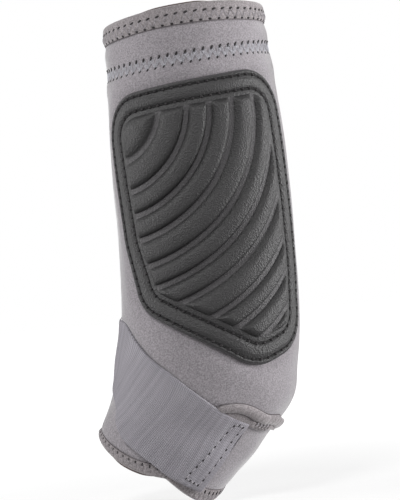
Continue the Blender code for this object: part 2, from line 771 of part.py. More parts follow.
def make_boot():
    """Every piece of the boot, with the moving ones hung on their axes."""
    make_body()
    make_dart()
    make_pad()
    make_sling_strap()
    fold_out = LAYER_GAP + BINDING + BINDING_PUFF + HINGE_CLEARANCE
    foot = leg_point(FRONT_FOLD, mouth(FRONT_FOLD), fold_out)
    top = leg_point(FRONT_FOLD, rim(FRONT_FOLD), fold_out)
    flap_axis = axis_at("flap_axis", foot, top)
    hang(make_flap() + [make_strap_loop()], flap_axis)
    for index in range(len(TAB_NAMES)):
        make_loop_patch(index)
        hang([make_anchor(index)], flap_axis)
        low = tab_height(index) - TAB_WIDTH / 2
        out = TAB_OUT + TAB + HINGE_CLEARANCE
        foot = leg_point(TAB_HINGE_ANGLE, low, out)
        top = Vector((foot.x, foot.y, low + TAB_WIDTH))
        hang(make_tab(index), axis_at(TAB_NAMES[index] + "_tab_axis", foot, top, flap_axis))
    low, high = strap_edges(FRONT_FOLD)
    out = SEAT_GAP + STRAP + HINGE_CLEARANCE
    foot = leg_point(FRONT_FOLD, low, out)
    top = leg_point(FRONT_FOLD, high, out)
    hang(make_strap_end(), axis_at("strap_axis", foot, top, flap_axis))


for leftover in list(bpy.data.objects):
    bpy.data.objects.remove(leftover)
make_boot()
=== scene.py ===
"""Finished looks of a horse's wrap boot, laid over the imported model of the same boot.

Every piece is drawn flat, as its pattern, and laid on the leg with the same sections that
the model was built on. In a pattern the first axis runs round the leg, in metres from the
middle of the inner side towards the back, the second up it and the third out of it.
Angles round the leg are in degrees: 0 is the back, 180 the front fold, 270 the inner side.
"""

import math

import bmesh
import bpy
import numpy as np
from mathutils import Matrix, Vector


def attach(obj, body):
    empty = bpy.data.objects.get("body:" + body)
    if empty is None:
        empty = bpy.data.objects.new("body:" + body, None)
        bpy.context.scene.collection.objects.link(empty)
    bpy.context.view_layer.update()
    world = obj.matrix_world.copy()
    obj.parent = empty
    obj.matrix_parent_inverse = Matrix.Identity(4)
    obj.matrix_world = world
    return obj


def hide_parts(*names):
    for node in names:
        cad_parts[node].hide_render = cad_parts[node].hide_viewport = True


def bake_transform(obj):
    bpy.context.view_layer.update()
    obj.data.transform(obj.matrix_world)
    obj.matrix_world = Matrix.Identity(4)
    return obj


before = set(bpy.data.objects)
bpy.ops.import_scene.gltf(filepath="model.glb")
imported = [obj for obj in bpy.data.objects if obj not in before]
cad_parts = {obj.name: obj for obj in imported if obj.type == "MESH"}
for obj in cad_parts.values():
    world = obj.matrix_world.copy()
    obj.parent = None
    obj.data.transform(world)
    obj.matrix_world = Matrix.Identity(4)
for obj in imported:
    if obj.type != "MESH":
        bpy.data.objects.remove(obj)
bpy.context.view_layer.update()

# The leg under the fabric: height, shift, half width, half depth and tilt of each section
LEG = np.array((
    (0.021, -0.0370, 0.0366, 0.0310, 33.0),
    (0.042, -0.0210, 0.0429, 0.0370, 18.5),
    (0.058, -0.0095, 0.0494, 0.0420, 10.0),
    (0.080, -0.0038, 0.0512, 0.0435, 3.0),
    (0.110, -0.0002, 0.0498, 0.0410, 0.0),
    (0.200, 0.0006, 0.0491, 0.0398, 0.0),
    (0.272, -0.0012, 0.0442, 0.0385, 0.0),
))
FRONT_FOLD = 180.0
INNER_SIDE = 270.0
WRAP_RADIUS = 0.046

# Edges of the boot
RIM_HEIGHT = 0.272
RIM_RISE = 0.003
RIM_ARCH = 0.0024
MOUTH_EDGE = 0.0205
LOBE_DIP = 0.0050
LOBE_START = 6.0
LOBE_TURN = 94.0
SLING_DIP = 0.0024
SLING_TURN = 80.0
TAIL_ANGLE = 420.0
FLAP_EDGE_ANGLE = 63.0
SEAM_FOOT_ANGLE = 278.0
SEAM_TOP_ANGLE = 287.0
SEAM_GAP_ANGLE = 0.6
DART_HEIGHT = 0.0510
DART_RISE = 0.0041
DART_CREST_ANGLE = 295.0
DART_LEVEL_ANGLE = 326.0
FLARE_OUT = 0.0012
FLARE_ANGLE = 190.0
FLARE_TURN = 75.0
FLARE_FOOT = 0.016
FLARE_TOP = 0.048

# Where the cloth bends when the flap opens, and where the pieces that bend end
SPLIT_ANGLE = 202.0

# Sewing along the edges
RIM_REACH = 0.0103
RIM_PITCH = 0.0054
RIM_ROWS = (0.0045, 0.0097)
MOUTH_REACH = 0.0052
MOUTH_PITCH = 0.0052
MOUTH_ROWS = (0.0014, 0.0040)
RIM_TAPE = (RIM_REACH, RIM_PITCH, RIM_ROWS)
MOUTH_TAPE = (MOUTH_REACH, MOUTH_PITCH, MOUTH_ROWS)
TAPE_PUFF_SHARE = 0.135
TAPE_FACE_SHARES = (
    (1.000, 0.05), (1.003, 0.20), (0.985, 0.34), (0.940, 0.46), (0.870, 0.66), (0.790, 0.82),
    (0.710, 0.92), (0.630, 0.96), (0.560, 0.95), (0.500, 0.92), (0.440, 0.88), (0.385, 0.87),
    (0.325, 0.88), (0.260, 0.88), (0.190, 0.85), (0.120, 0.72), (0.060, 0.50), (0.020, 0.24),
    (0.000, 0.00),
)
SECOND_ROW_HEIGHT = 0.2457
SECOND_ROW_RISE = 0.0043
SECOND_ROW_PITCH = 0.0050
SECOND_ROWS = (-0.0029, 0.0029)
DIMPLE_DEPTH = 0.0005
DIMPLE_HALF_WIDTH = 0.0009
DIMPLE_HALF_HEIGHT = 0.0008
PUCKER = 0.00010
PUCKER_SLANT = 900

# Dark strips of painted shadow along the seams, and the lining that shows past the tapes
SEAM_LINE_HALF = 0.00022
SEAM_LINE = 0.0005
RIM_SEAM_GAP = 0.0002
MOUTH_SEAM_GAP = 0.0001
RIM_SEAM_SINK = 0.00008
MOUTH_SEAM_SINK = 0.00022
HEM_UNDER = 0.0020
HEM_PAST = 0.0011
HEM_OUT = -0.0024
HEM_THICK = 0.0012
HEM_GROW_TURN = 26
HEM_FADE_TURN = 20
RIM_HEM_ANGLES = (226.0, 298.0)
MOUTH_HEM_ANGLES = (212.0, 277.0)

# Threads: their radius, and how far they stand up
RIM_THREAD = (0.00010, 0.00030)
SECOND_THREAD = (0.00013, 0.00055)
MOUTH_THREAD = (0.00011, 0.00022)
PAD_THREAD = (0.00032, 0.00024)
TAB_THREAD = (0.00028, 0.0001)
BOX_THREAD = (0.00028, 0.0002)
RUNG_THREAD = (0.00028, 0.00034)
RAIL_THREAD = (0.00024, 0.00024)
CELL_THREAD = (0.0005, -0.0002)

THREAD_FLATNESS = 0.7
THREAD_SINK = 1.2

# Strands of a zigzag: how many, and their spread at its near and its far row
RIM_STRANDS = (2, 0.00035, 0.0002)
SECOND_STRANDS = (3, 0.0004, 0.0010)

# Needle holes: half width, half height, rise, and lean of the taller ones
RIM_UPPER_HOLE = (0.00110, 0.00072, 0.00036, 0.9)
RIM_LOWER_HOLE = (0.00095, 0.00060, 0.00036, 0.0)
SECOND_LOWER_HOLE = (0.00062, 0.00085, 0.00036, 0.4)
SECOND_UPPER_HOLE = (0.00070, 0.00125, 0.00042, 0.4)
MOUTH_HOLE = (0.00062, 0.00078, 0.00032, -0.6)
PAD_HOLE = (0.00090, 0.00080, 0.00080, 0.0)
STRAP_HOLE = (0.00046, 0.00056, 0.00024, 0.0)

# Layers, from the leg outwards
NEOPRENE = 0.0045
LINING = 0.0015
LAYER_GAP = 0.0004
SEAT_GAP = 0.0005
HEM = 0.0014

# Waves of the cloth: rise, radians to a metre round and up the leg, and phase
CLOTH_WAVES = ((0.00016, 95, 60, 0.0), (0.00018, 41, -83, 1.3), (0.00008, 160, 137, 0.6))
STRAP_WAVES = ((0.00015, 300, 210, 0.0), (0.0001, 130, 0, 0.0))
ROLL_WAVES = ((0.00012, 1500, 0, 0.0), (0.00010, 620, 0, 1.0))

# Swells and dips of the neoprene along an edge or a seam: rise, distance from that line and half width
CLOTH_SWELLS = (
    ("second_row", -0.0009, 0.0, 0.0050),
    ("rim", 0.0005, 0.0165, 0.0065),
    ("rim", 0.0004, 0.0360, 0.0080),
    ("rim", -0.0002, RIM_REACH, 0.0045),
    ("mouth", -0.0002, MOUTH_REACH, 0.0045),
    ("pad", -0.0005, 0.0, 0.0045),
    ("pad", 0.0004, 0.008, 0.008),
)

# Its bulges beside the dart: rise, height, half height and the angles between which they grow
ABOVE_DART = (0.0010, 0.012, 0.012, 290, 320)
BELOW_DART = (0.0014, 0.0395, 0.0100, 322, 346)

# The rolled binding of the dart and its flat apron
DART_START_ANGLE = 281.5
DART_END_ANGLE = 366.0
DART_HALF = 0.0034
DART_TAPER = 0.0020
DART_SEAT = 0.0006
DART_CREASE_END_ANGLE = 352.0
ROLL_WIDTH = 0.0042
ROLL_DEPTH = 0.0029
ROLL_LEAST = 0.0012
ROLL_START_ANGLES = (281, 292)
ROLL_CREASE_ANGLES = (286.0, 318.0)
APRON_DEPTH = 0.0013
APRON_SINK = 0.0004
APRON_GAP = 0.0004
APRON_HIDDEN = 0.0010
APRON_CLEAR_ANGLE = 319
APRON_SHARES = (
    (1, 0.04, 0.45), (1, 0.12, 0.80), (1, 0.3, 0.95), (1, 0.55, 1.0), (1, 0.8, 1.05),
    (1, 0.93, 0.95), (1, 0.99, 0.6), (1, 1.0, 0.0),
)

# How its edges and its height change: by how much, and from which angle to which
CREST_DIPS = ((0.0016, 293, 279), (0.0018, 336, 354))
ROLL_END_RISE = (0.0010, 344, 357)
APRON_FOOT_RISE = (0.0018, 332, 352)
APRON_OUT_RISE = (0.0006, 314, 330)
CREASE_DIP = (0.0006, 300, 326)
ROLL_DIP = 0.0006
ROLL_DIP_ANGLE = 330
ROLL_DIP_TURN = 16

# The tape behind the dart, and the overlock stitches at its end
SEAM_TAPE = 0.0008
SEAM_TAPE_OUT = 0.0002
SEAM_TAPE_HALF = 0.0062
SEAM_TAPE_END_ANGLE = 409.0
OVERLOCK_ANGLES = (316.5, 331.5)
OVERLOCK_RUNGS = 5
OVERLOCK_MARGIN = 0.0005
OVERLOCK_RISE = (-0.0002, 0.0024)

# Strike pad
PAD_WIDTH = 0.1165
PAD_HEIGHT = 0.1649
PAD_LEFT = -0.0583
PAD_BOTTOM = 0.0746
PAD_FIELD_INSET = 0.0135
PAD_CORNER_SHARES = (
    (0.000, 0.922, 0.215),
    (0.075, 0.433, 0.360),
    (0.172, 0.216, 0.210),
    (0.700, 0.000, 0.200),
    (0.990, 0.075, 0.200),
    (1.000, 0.306, 0.360),
    (0.960, 1.000, 0.200),
)
PAD_LEAST_RADIUS = 0.003
PAD_ARC_STEPS = 14
PAD_COLUMNS = 320
PAD_BORDER_COLUMNS = 620
PAD_BORDER_INSETS = (0.0, 0.0001, 0.0003, 0.0006, 0.0010)
PAD_BORDER_START = 0.0015
PAD_BORDER_PITCH = 0.00045
PAD_BORDER_REACH = 0.0148
PAD_BACK_INSETS = (0.0148, 0.0110, 0.0060, 0.0020, 0.0)
PAD_EDGE = 0.0003
PAD_THICK = 0.0011
PAD_EDGE_SWELL = (0.0003, 0.0016, 0.0014)
PAD_WELT = 0.0006
PAD_WELT_INSETS = (0.0034, 0.0056, 0.0080, 0.0102)
OUTER_GROOVE = (0.0006, 0.00050)
INNER_GROOVE = (0.0007, 0.00055)
# Painted shade in the stitch grooves: how much darker and its half width; then the insets over which the
# paler cut edge ends
GROOVE_SHADE = 0.6
GROOVE_SHADE_HALF = 0.0007
EDGE_SHADE_INSETS = (0.0008, 0.0018)
PAD_LAND_OUT = 0.0026
PAD_CROWN = 0.0024
PAD_STITCH_PITCH = 0.0046
RIB_LAND = 0.0028
RIB_FADE = 0.0036
RIB_CENTRE_RISE = 0.007
RIB_NARROWING = 0.845
RIB_UPPER_SIDE = (0.34, 0.80)
RIB_LOWER_SIDE = (0.20, 0.60)
RIB_ARCH = 0.16
RIB_EDGE = 0.0012
RIB_EDGE_DROP = 0.0006
RIB_BACK = 0.0012
RIB_REACH = 0.1544
RIB_REACH_SHARES = (
    0.194, 0.304, 0.391, 0.479, 0.576, 0.659, 0.742, 0.839, 0.916, 1.000, 1.085, 1.170, 1.255,
)
RIB_SAMPLE_SHARES = (0.0, 0.03, 0.07, 0.12, 0.19, 0.28, 0.40, 0.54, 0.68, 0.79, 0.87, 0.93, 0.97, 1.0)
OUTER_STITCH_INSET = 0.0027
INNER_STITCH_INSET = 0.0106
PAD_LAND_INSET = 0.0109
PAD_STITCH_SHARE = 0.90
PAD_STITCH_RISE = 0.0002

# Sling strap, from its sewn end on the lobe to its free end on the flap
STRAP = 0.0017
STRAP_OUT = 0.0002
STRAP_CORNER = 0.006
STRAP_PITCH = 0.0012
STRAP_ROWS = 36
STRAP_RISE = 0.100
STRAP_FOOT = 0.0214
STRAP_SEWN_ANGLE = 312.0
STRAP_TURN = 222.0
STRAP_PATH_SHARES = np.array((
    (0.000, 0.000, 0.286),
    (0.077, 0.000, 0.308),
    (0.144, 0.002, 0.347),
    (0.230, 0.022, 0.432),
    (0.300, 0.040, 0.530),
    (0.358, 0.066, 0.608),
    (0.432, 0.155, 0.722),
    (0.492, 0.268, 0.808),
    (0.550, 0.335, 0.832),
    (0.595, 0.392, 0.836),
    (0.650, 0.478, 0.868),
    (0.720, 0.620, 1.050),
    (0.797, 0.735, 1.238),
    (1.000, 0.900, 1.420),
))
STRAP_STEP_TOP = 0.046
STRAP_STEP_FOOT = 0.032
STRAP_BINDING_LIFT = 0.0016
STRAP_SINK = 0.0007
STRAP_SINK_ANGLES = (140, 165)
CINCH_OUTSIDE = 0.0005
CINCH_INSIDE = 0.0015
STRAP_JOIN_ANGLE = 165.0
STRAP_BEND_END_ANGLE = 148.0
STRAP_BEND_HEIGHT = 0.1
STRAP_PATCH_END_ANGLE = 127.4
STRAP_LAND_TURN = 10.0
STRAP_SKEW = 0.22
STRAP_SKEW_ANGLE = 288.0
STRAP_SPAN_ANGLES = (60.0, 340.0)
STRAP_SPAN_STEPS = 600
STRAP_FOOT_ROUNDS = 12
BOX_STITCH_PITCH = 0.0032
BOX_STITCH_SHARE = 0.66
BOX_PLACES = (
    (308.3, 0.0483), (304.7, 0.0235), (291.0, 0.0242), (300.2, 0.0492), (303.8, 0.0494),
)
ELASTIC_RIBS = 300.0
PATCH_MARGIN = 0.004
PATCH_CORNER = 0.003

# Closure tabs
TAB = 0.0016
TAB_WIDTH = 0.038
TAB_CORNER = 0.010
TAB_ROOT_CORNER = 0.002
TAB_ROWS = 30
TAB_HEIGHTS = {"lower": 0.105, "middle": 0.170, "upper": 0.235}
TAB_TIP_ANGLE = 24.0
TAB_PATCH_END_ANGLE = 50.0
TAB_ROOT_ANGLE = 84.0
TAB_STEP_START_ANGLE = 72.2
TAB_STEP_END_ANGLE = 81.2
TAB_STITCH_ANGLES = (82.9, 79.6)
TAB_STITCH_MARGIN = 0.0030
TAB_BEND_START_ANGLE = 66.0
TAB_BEND_END_ANGLE = 57.0
LOOP = 0.0009
HOOK = 0.0007
HOOK_OUT = 0.0018
LOOP_SINK = 0.0003
TAB_OUT = 0.0029

# Patches: how far out they start, their thickness and their material slot
HOOKS = (HOOK_OUT, HOOK, "hook_pile")
LOOPS = (SEAT_GAP - LOOP_SINK, LOOP + LOOP_SINK, "loop_pile")

# Plain values of the shaders
KNIT = {"Roughness": 0.92, "Specular IOR Level": 0.2, "Sheen Roughness": 0.4}
ELASTIC = {"Roughness": 0.95, "Specular IOR Level": 0.1}
THREAD = {"Roughness": 0.7, "Specular IOR Level": 0.3}
PILE = {"Roughness": 0.85, "Specular IOR Level": 0.2, "Sheen Weight": 0.3}
KNIT_GRAIN = 1300.0
THREAD_GRAIN = 1400.0
LEATHER_GRAIN = 1300.0
LEATHER_PEBBLES = 1100.0
LEATHER_ROUGHNESS = (0.46, 0.60)

# The studio
CAMERA_LENS = 140.5
CAMERA_PLACE = (-0.0031, -1.1, 0.1403)
CAMERA_TURN = ((0.9962, 0.0872, 0), (0, 0, -1), (-0.0872, 0.9962, 0))
LIGHT_AIM = (0, 0, 0.13)
WORLD_LIGHT = 0.15
FLOOR_HEIGHT = -0.001
FLOOR_GLOWS = (0.70, 1.0)
FLOOR_REACHES = (0.12, 0.45)
FLOOR_STRENGTH = 1.12
FLOOR_SIZE = 3.0
FLOOR_GRAIN = 300.0
STUDIO_LIGHTS = (
    ("key_light", (-0.45, -1.10, 1.15), 0.45, 12.6),
    ("left_light", (-1.35, -0.03, 0.30), 0.8, 12.0),
    ("right_light", (1.35, -0.18, 0.22), 0.8, 30.0),
)

# Fineness of the meshes
CLOTH_PITCH = 0.0010
TAPE_PITCH = 0.0008
WELD = 0.000001
SHARP = math.radians(50)
NUDGE = 0.0005


# Curves and steps


def smooth(places, values, at):
    """Read a smooth curve through places and values, running straight past its ends."""
    slopes = np.diff(values) / np.diff(places)
    tangents = np.concatenate((slopes[:1], (slopes[1:] + slopes[:-1]) / 2, slopes[-1:]))
    index = np.clip(np.searchsorted(places, at, side="right") - 1, 0, len(places) - 2)
    span = np.diff(places)[index]
    t = np.clip((at - places[index]) / span, 0, 1)
    rise = t * t * (3 - 2 * t)
    leave = t * (1 - t) ** 2 * span * tangents[index]
    arrive = t * t * (t - 1) * span * tangents[index + 1]
    past = at - np.clip(at, places[0], places[-1])
    beyond = past * np.where(past < 0, tangents[0], tangents[-1])
    return values[index] * (1 - rise) + values[index + 1] * rise + leave + arrive + beyond


def step(start, end, at):
    """Go smoothly from 0 at start to 1 at end."""
    share = np.clip((at - start) / (end - start), 0, 1)
    return share * share * (3 - 2 * share)


def bell(middle, half, at):
    """Rise smoothly to 1 at the middle and fall back to 0 at half a width either side."""
    return 1 - step(0, half, np.abs(at - middle))


def waves(table, place, height):
    """Sum of waves, each with its rise, radians to a metre along and up, and phase."""
    return sum(rise * np.sin(place * fast + height * climb + phase) for rise, fast, climb, phase in table)


def lengths(line):
    """Length along a line at each of its points."""
    return np.concatenate(([0], np.cumsum(np.linalg.norm(np.diff(line, axis=0), axis=1))))


def read_line(line, length, at):
    """Points of a line at lengths along it."""
    return np.stack([np.interp(at, length, line[:, axis]) for axis in (0, 1)], -1)


def closed(ring):
    """A ring of points that ends with its first point."""
    return np.concatenate((ring, ring[:1]))


def sides(ring):
    """Start and run of each side of a ring of points."""
    return zip(ring, np.roll(ring, -1, axis=0) - ring)


def rounded(share):
    """Rise of a rounded edge, from 0 at its start to 1 at a share of 1."""
    return np.sqrt(np.clip(1 - (1 - np.clip(share, 0, 1)) ** 2, 0, 1))


# The leg's surface and the way a pattern lies on it


def around(angle):
    """Pattern place of an angle round the leg."""
    return np.radians(angle - INNER_SIDE) * WRAP_RADIUS


def angle_at(place):
    """Angle round the leg of a pattern place."""
    return INNER_SIDE + np.degrees(place / WRAP_RADIUS)


def turn(length):
    """Angle round the leg that a pattern length takes up."""
    return math.degrees(length / WRAP_RADIUS)


def flare(angle, height):
    """How far the front lobe stands off the leg towards its lower edge."""
    return FLARE_OUT * bell(FLARE_ANGLE, FLARE_TURN, angle) * (1 - step(FLARE_FOOT, FLARE_TOP, height))


def lay(angle, height, out):
    """Points at angles round the leg, on the sections at heights, out from the fabric's face."""
    angle, height, out = np.broadcast_arrays(angle, height, out)
    out = out + flare(angle, height)
    shift, wide, deep, tilt = (smooth(LEG[:, 0], LEG[:, i], height) for i in range(1, 5))
    tilt = np.radians(tilt)
    along = (wide + out) * np.cos(np.radians(angle))
    across = (deep + out) * np.sin(np.radians(angle))
    return np.stack((shift + along * np.cos(tilt), across, height - along * np.sin(tilt)), -1)


def rim(angle):
    """Height of the rim, which stands higher at the back and arches over both sides."""
    place = np.radians(angle)
    return RIM_HEIGHT + RIM_RISE * np.cos(place) + RIM_ARCH * np.sin(place) ** 2


def mouth(angle):
    """Height of the lower edge, where first the front lobe and then the sling lobe dips."""
    lobe = np.clip((np.abs(angle - FRONT_FOLD) - LOBE_START) / LOBE_TURN, 0, 1)
    sling = np.clip((angle - SEAM_FOOT_ANGLE) / SLING_TURN, 0, 1)
    return MOUTH_EDGE - LOBE_DIP * np.sin(math.pi * lobe) - SLING_DIP * np.sin(math.pi * sling)


def dart(angle):
    """Height of the joint between the body and the sling lobe."""
    return DART_HEIGHT + DART_RISE * (1 - step(DART_CREST_ANGLE, DART_LEVEL_ANGLE, angle))


def body_foot(angle):
    """Lower edge of the body panel: the mouth, then the seam under the strap, then the dart."""
    share = np.clip((angle - SEAM_FOOT_ANGLE) / (SEAM_TOP_ANGLE - SEAM_FOOT_ANGLE), 0, 1)
    return mouth(angle) + (dart(angle) - mouth(angle)) * share


def second_row(angle):
    """Height of the middle of the zigzag below the rim."""
    return SECOND_ROW_HEIGHT + SECOND_ROW_RISE * np.cos(np.radians(angle))


def strap_edges(angle):
    """Lower and upper edge of the sling strap at an angle round the leg."""
    share = (STRAP_SEWN_ANGLE - angle) / STRAP_TURN
    low = smooth(STRAP_PATH_SHARES[:, 0], STRAP_PATH_SHARES[:, 1], share)
    high = smooth(STRAP_PATH_SHARES[:, 0], STRAP_PATH_SHARES[:, 2], share)
    return STRAP_FOOT + low * STRAP_RISE, STRAP_FOOT + high * STRAP_RISE


# Making and joining pieces


def close_up(name, material, mesh, sharp=SHARP):
    """Weld a piece's seams, fill its open ends, turn its faces outwards and make its object."""
    bmesh.ops.remove_doubles(mesh, verts=mesh.verts, dist=WELD)
    bmesh.ops.dissolve_degenerate(mesh, edges=mesh.edges, dist=WELD)
    open_edges = [edge for edge in mesh.edges if edge.is_boundary]
    if open_edges:
        bmesh.ops.holes_fill(mesh, edges=open_edges, sides=0)
    bmesh.ops.recalc_face_normals(mesh, faces=mesh.faces)
    if mesh.calc_volume(signed=True) < 0:
        bmesh.ops.reverse_faces(mesh, faces=mesh.faces)
    data = bpy.data.meshes.new(name)
    mesh.to_mesh(data)
    mesh.free()
    data.materials.append(material)
    data.shade_smooth()
    data.set_sharp_from_angle(angle=sharp)
    return show(name, data)


def loft(name, material, along, across, shape, sharp=SHARP):
    """A grid of places along and across, shaped into a closed piece with its pattern as UV."""
    mesh = bmesh.new()
    pattern = mesh.loops.layers.uv.new("pattern")
    columns, rows = len(along) - 1, len(across) - 1
    bmesh.ops.create_grid(mesh, x_segments=columns, y_segments=rows, size=0.5)
    mesh.verts.index_update()
    shares = np.array([vert.co[:2] for vert in mesh.verts]) + 0.5
    column = np.rint(shares[:, 0] * columns).astype(int)
    row = np.rint(shares[:, 1] * rows).astype(int)
    points, flat, *puff = shape(along[column], across[row])
    for vert, point in zip(mesh.verts, points):
        vert.co = point
    # A third value from the shape is kept as the puff attribute, which the leatherette uses for its painted
    # shade and light.
    if puff:
        swell = mesh.verts.layers.float.new("puff")
        for vert, value in zip(mesh.verts, puff[0]):
            vert[swell] = value
    for face in mesh.faces:
        for corner in face.loops:
            corner[pattern].uv = flat[corner.vert.index]
    return close_up(name, material, mesh, sharp)


def spread(start, end, pitch, roll=0.0):
    """Pattern places from start to end about a pitch apart, closer at rolled ends."""
    count = max(2, math.ceil((end - start - 2 * roll) / pitch))
    middle = np.linspace(start + roll, end - roll, count + 1)
    if not roll:
        return middle
    ease = roll * (1 - np.cos(np.linspace(0, math.pi / 2, 5)[:-1]))
    return np.concatenate((start + ease, middle, end - ease[::-1]))


def face_and_back(face, back):
    """Rows of a closed layer: places across its face, then back across its back."""
    front = np.stack((face, np.ones_like(face)), -1)
    behind = np.stack((back, np.zeros_like(back)), -1)
    return np.concatenate((front, behind, ((0.0, 1.0),)))


def scatter(name, material, count, segments, rings, shape, bends):
    """One object of many small round bodies, shaped by which body and place in it a point is."""
    seed = bmesh.new()
    bmesh.ops.create_uvsphere(seed, u_segments=segments, v_segments=rings, radius=1.0)
    template = bpy.data.meshes.new("seed")
    seed.to_mesh(template)
    seed.free()
    local = np.array([vert.co[:] for vert in template.vertices])
    mesh = bmesh.new()
    for _ in range(count):
        mesh.from_mesh(template)
    bpy.data.meshes.remove(template)
    which = np.repeat(np.arange(count), len(local))
    for vert, point in zip(mesh.verts, shape(which, np.tile(local, (count, 1)).T)):
        vert.co = point
    join_body(close_up(name, material, mesh, math.pi), bends)


def settle(piece, slot, *nodes, body=None):
    """Let a piece replace its nodes, which are hidden, and ride on a body; its slot is not used."""
    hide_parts(*nodes)
    if body:
        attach(piece, body)
    return piece


def join_body(piece, bends):
    """Let a piece ride on the body, or bake the transform of one that crosses the front fold to the flap.
    """
    if bends:
        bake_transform(piece)
    else:
        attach(piece, "boot_body")


def bend(piece, angles, height, out):
    """Work out a piece's crease between two angles round the leg, which nothing uses, and bake its
    transform.
    """
    start, end = (tuple(map(float, lay(np.array(angle), height, out))) for angle in angles)
    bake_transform(piece)


def halves(place):
    """Which places lie on the body and which on the flap, with a name's end for each."""
    on_body = angle_at(place) > SPLIT_ANGLE
    parts = (("_body", on_body, False), ("_flap", ~on_body, True))
    return [part for part in parts if part[1].any()]


# Neoprene and lining


def pad_distance(angle, height):
    """Distance of pattern points outside the strike pad's outline, negative inside it."""
    points = np.stack((around(angle), height), -1)
    best = np.full(len(points), np.inf)
    inside = np.ones(len(points), bool)
    for here, side in sides(pad_ring(0.0)):
        share = np.clip((points - here) @ side / (side @ side), 0, 1)
        gap = np.linalg.norm(points - here - share[:, None] * side, axis=1)
        best = np.minimum(best, gap)
        inside &= (points - here) @ np.array((side[1], -side[0])) < 0
    return np.where(inside, -best, best)


def cloth_relief(angle, height):
    """How the neoprene swells and dips between its seams, out from the leg's own face."""
    place = around(angle)
    gaps = {
        "second_row": height - second_row(angle),
        "rim": rim(angle) - height,
        "mouth": height - mouth(angle),
        "pad": pad_distance(angle, height),
    }
    out = waves(CLOTH_WAVES, place, height)
    for line, rise, middle, half in CLOTH_SWELLS:
        out = out + rise * bell(middle, half, gaps[line])
    for gap, (rise, middle, half, start, end) in ((height - dart(angle), ABOVE_DART), (height, BELOW_DART)):
        out = out + rise * bell(middle, half, gap) * step(start, end, angle)
    under, over = strap_edges(angle)
    cinch = step(under - CINCH_OUTSIDE, under + CINCH_INSIDE, height)
    cinch = cinch * (1 - step(over - CINCH_INSIDE, over + CINCH_OUTSIDE, height))
    cinch = cinch * step(*STRAP_SINK_ANGLES, angle)
    cinch = cinch * (1 - step(STRAP_SEWN_ANGLE - 1, STRAP_SEWN_ANGLE, angle))
    pits = tape_dimples(place, gaps["second_row"], SECOND_ROW_PITCH, SECOND_ROWS)
    return out - STRAP_SINK * cinch - DIMPLE_DEPTH * pits


def cloth_panel(name, material, start, end, foot, top, face, back, pitch=CLOTH_PITCH):
    """A layer of cloth between two angles and two edges, with a shaped face and a plain back."""
    angles = np.linspace(start, end, 50)
    count = float(np.max(top(angles) - foot(angles))) / pitch
    rows = face_and_back(np.linspace(0, 1, round(count) + 1), np.linspace(1, 0, round(count / 5) + 1))

    def shape(place, row):
        angle = angle_at(place)
        share, outer = rows[row].T
        height = foot(angle) + share * (top(angle) - foot(angle))
        out = np.where(outer > 0, face(angle, height), back)
        return lay(angle, height, out), np.stack((place, height), -1)

    along = spread(around(start), around(end), pitch)
    return loft(name, material, along, np.arange(len(rows)), shape)


def make_cloth(jersey, lining):
    """The neoprene and lining of the body, the sling lobe and the flap."""
    def hemmed_rim(angle):
        return rim(angle) - HEM

    def hemmed_mouth(angle):
        return mouth(angle) + HEM

    def body_edge(angle):
        return body_foot(angle) + np.where(angle > SEAM_TOP_ANGLE, LAYER_GAP, HEM)

    def lobe_top(angle):
        return body_foot(angle - SEAM_GAP_ANGLE) + NUDGE - LAYER_GAP

    hem = turn(HEM)
    tail = TAIL_ANGLE - hem
    lobe = SEAM_FOOT_ANGLE + SEAM_GAP_ANGLE
    inside = -NEOPRENE - LAYER_GAP
    pieces = (
        ("body", "main", SPLIT_ANGLE, tail, body_edge, hemmed_rim),
        ("lobe", "sling_lobe", lobe, tail, hemmed_mouth, lobe_top),
        ("flap", "flap", FLAP_EDGE_ANGLE + hem, SPLIT_ANGLE, hemmed_mouth, hemmed_rim),
    )
    for name, node, start, end, foot, top in pieces:
        panel = (start, end, foot, top)
        outer = cloth_panel("neoprene_" + name, jersey, *panel, cloth_relief, -NEOPRENE)
        inner = cloth_panel(
            "lining_cloth_" + name, lining, *panel, lambda angle, height: inside, inside - LINING,
            pitch=3 * CLOTH_PITCH,
        )
        cut = np.linspace(start, end, 400)
        size = (float(around(end) - around(start)), float(np.max(top(cut)) - np.min(foot(cut))))
        area = float(np.mean(top(cut) - foot(cut))) * size[0]
        settle(outer, "neoprene_fabric", "shell_" + node)
        settle(inner, "lining_fabric", "lining_" + node)
        for piece in (outer, inner):
            join_body(piece, name == "flap")


# Bound edges


def tape_profile(reach):
    """Closed profile of a folded tape: reach down from its edge and distance out."""
    inside = -(NEOPRENE + LAYER_GAP + LINING + LAYER_GAP)
    face = np.array(TAPE_FACE_SHARES) * (reach, reach * TAPE_PUFF_SHARE)
    over = ((-0.0003, -0.0012), (-0.0004, -0.0030), (-0.0003, -0.0048), (0.0004, inside - 0.0008))
    inner = (
        (reach * 0.15, inside - 0.0012), (reach * 0.5, inside - 0.0010),
        (reach * 0.85, inside - 0.0010), (reach, inside - 0.0007), (reach, inside),
    )
    back = (
        (reach * 0.5, inside), (0.0016, inside), (0.0016, 0.0), (reach * 0.5, 0.0), (reach, 0.0),
    )
    return np.concatenate((face, over, inner, back))


def tape_dimples(place, down, pitch, rows):
    """How much the two rows of a zigzag pull a tape in at places along and down it."""
    dip = 0
    for phase, row in enumerate(rows):
        swing = (place / pitch + 0.25 + phase / 2) % 1 - 0.5
        gap = (swing * pitch / DIMPLE_HALF_WIDTH) ** 2 + ((down - row) / DIMPLE_HALF_HEIGHT) ** 2
        dip = dip + np.exp(-gap)
    return dip


def tape_out(place, down, out, pitch, rows):
    """Out distance of a tape's face with its dimples and the puckers between them."""
    pucker = PUCKER * np.sin(place * 4 * math.pi / pitch + down * PUCKER_SLANT)
    return out - DIMPLE_DEPTH * tape_dimples(place, down, pitch, rows) + pucker


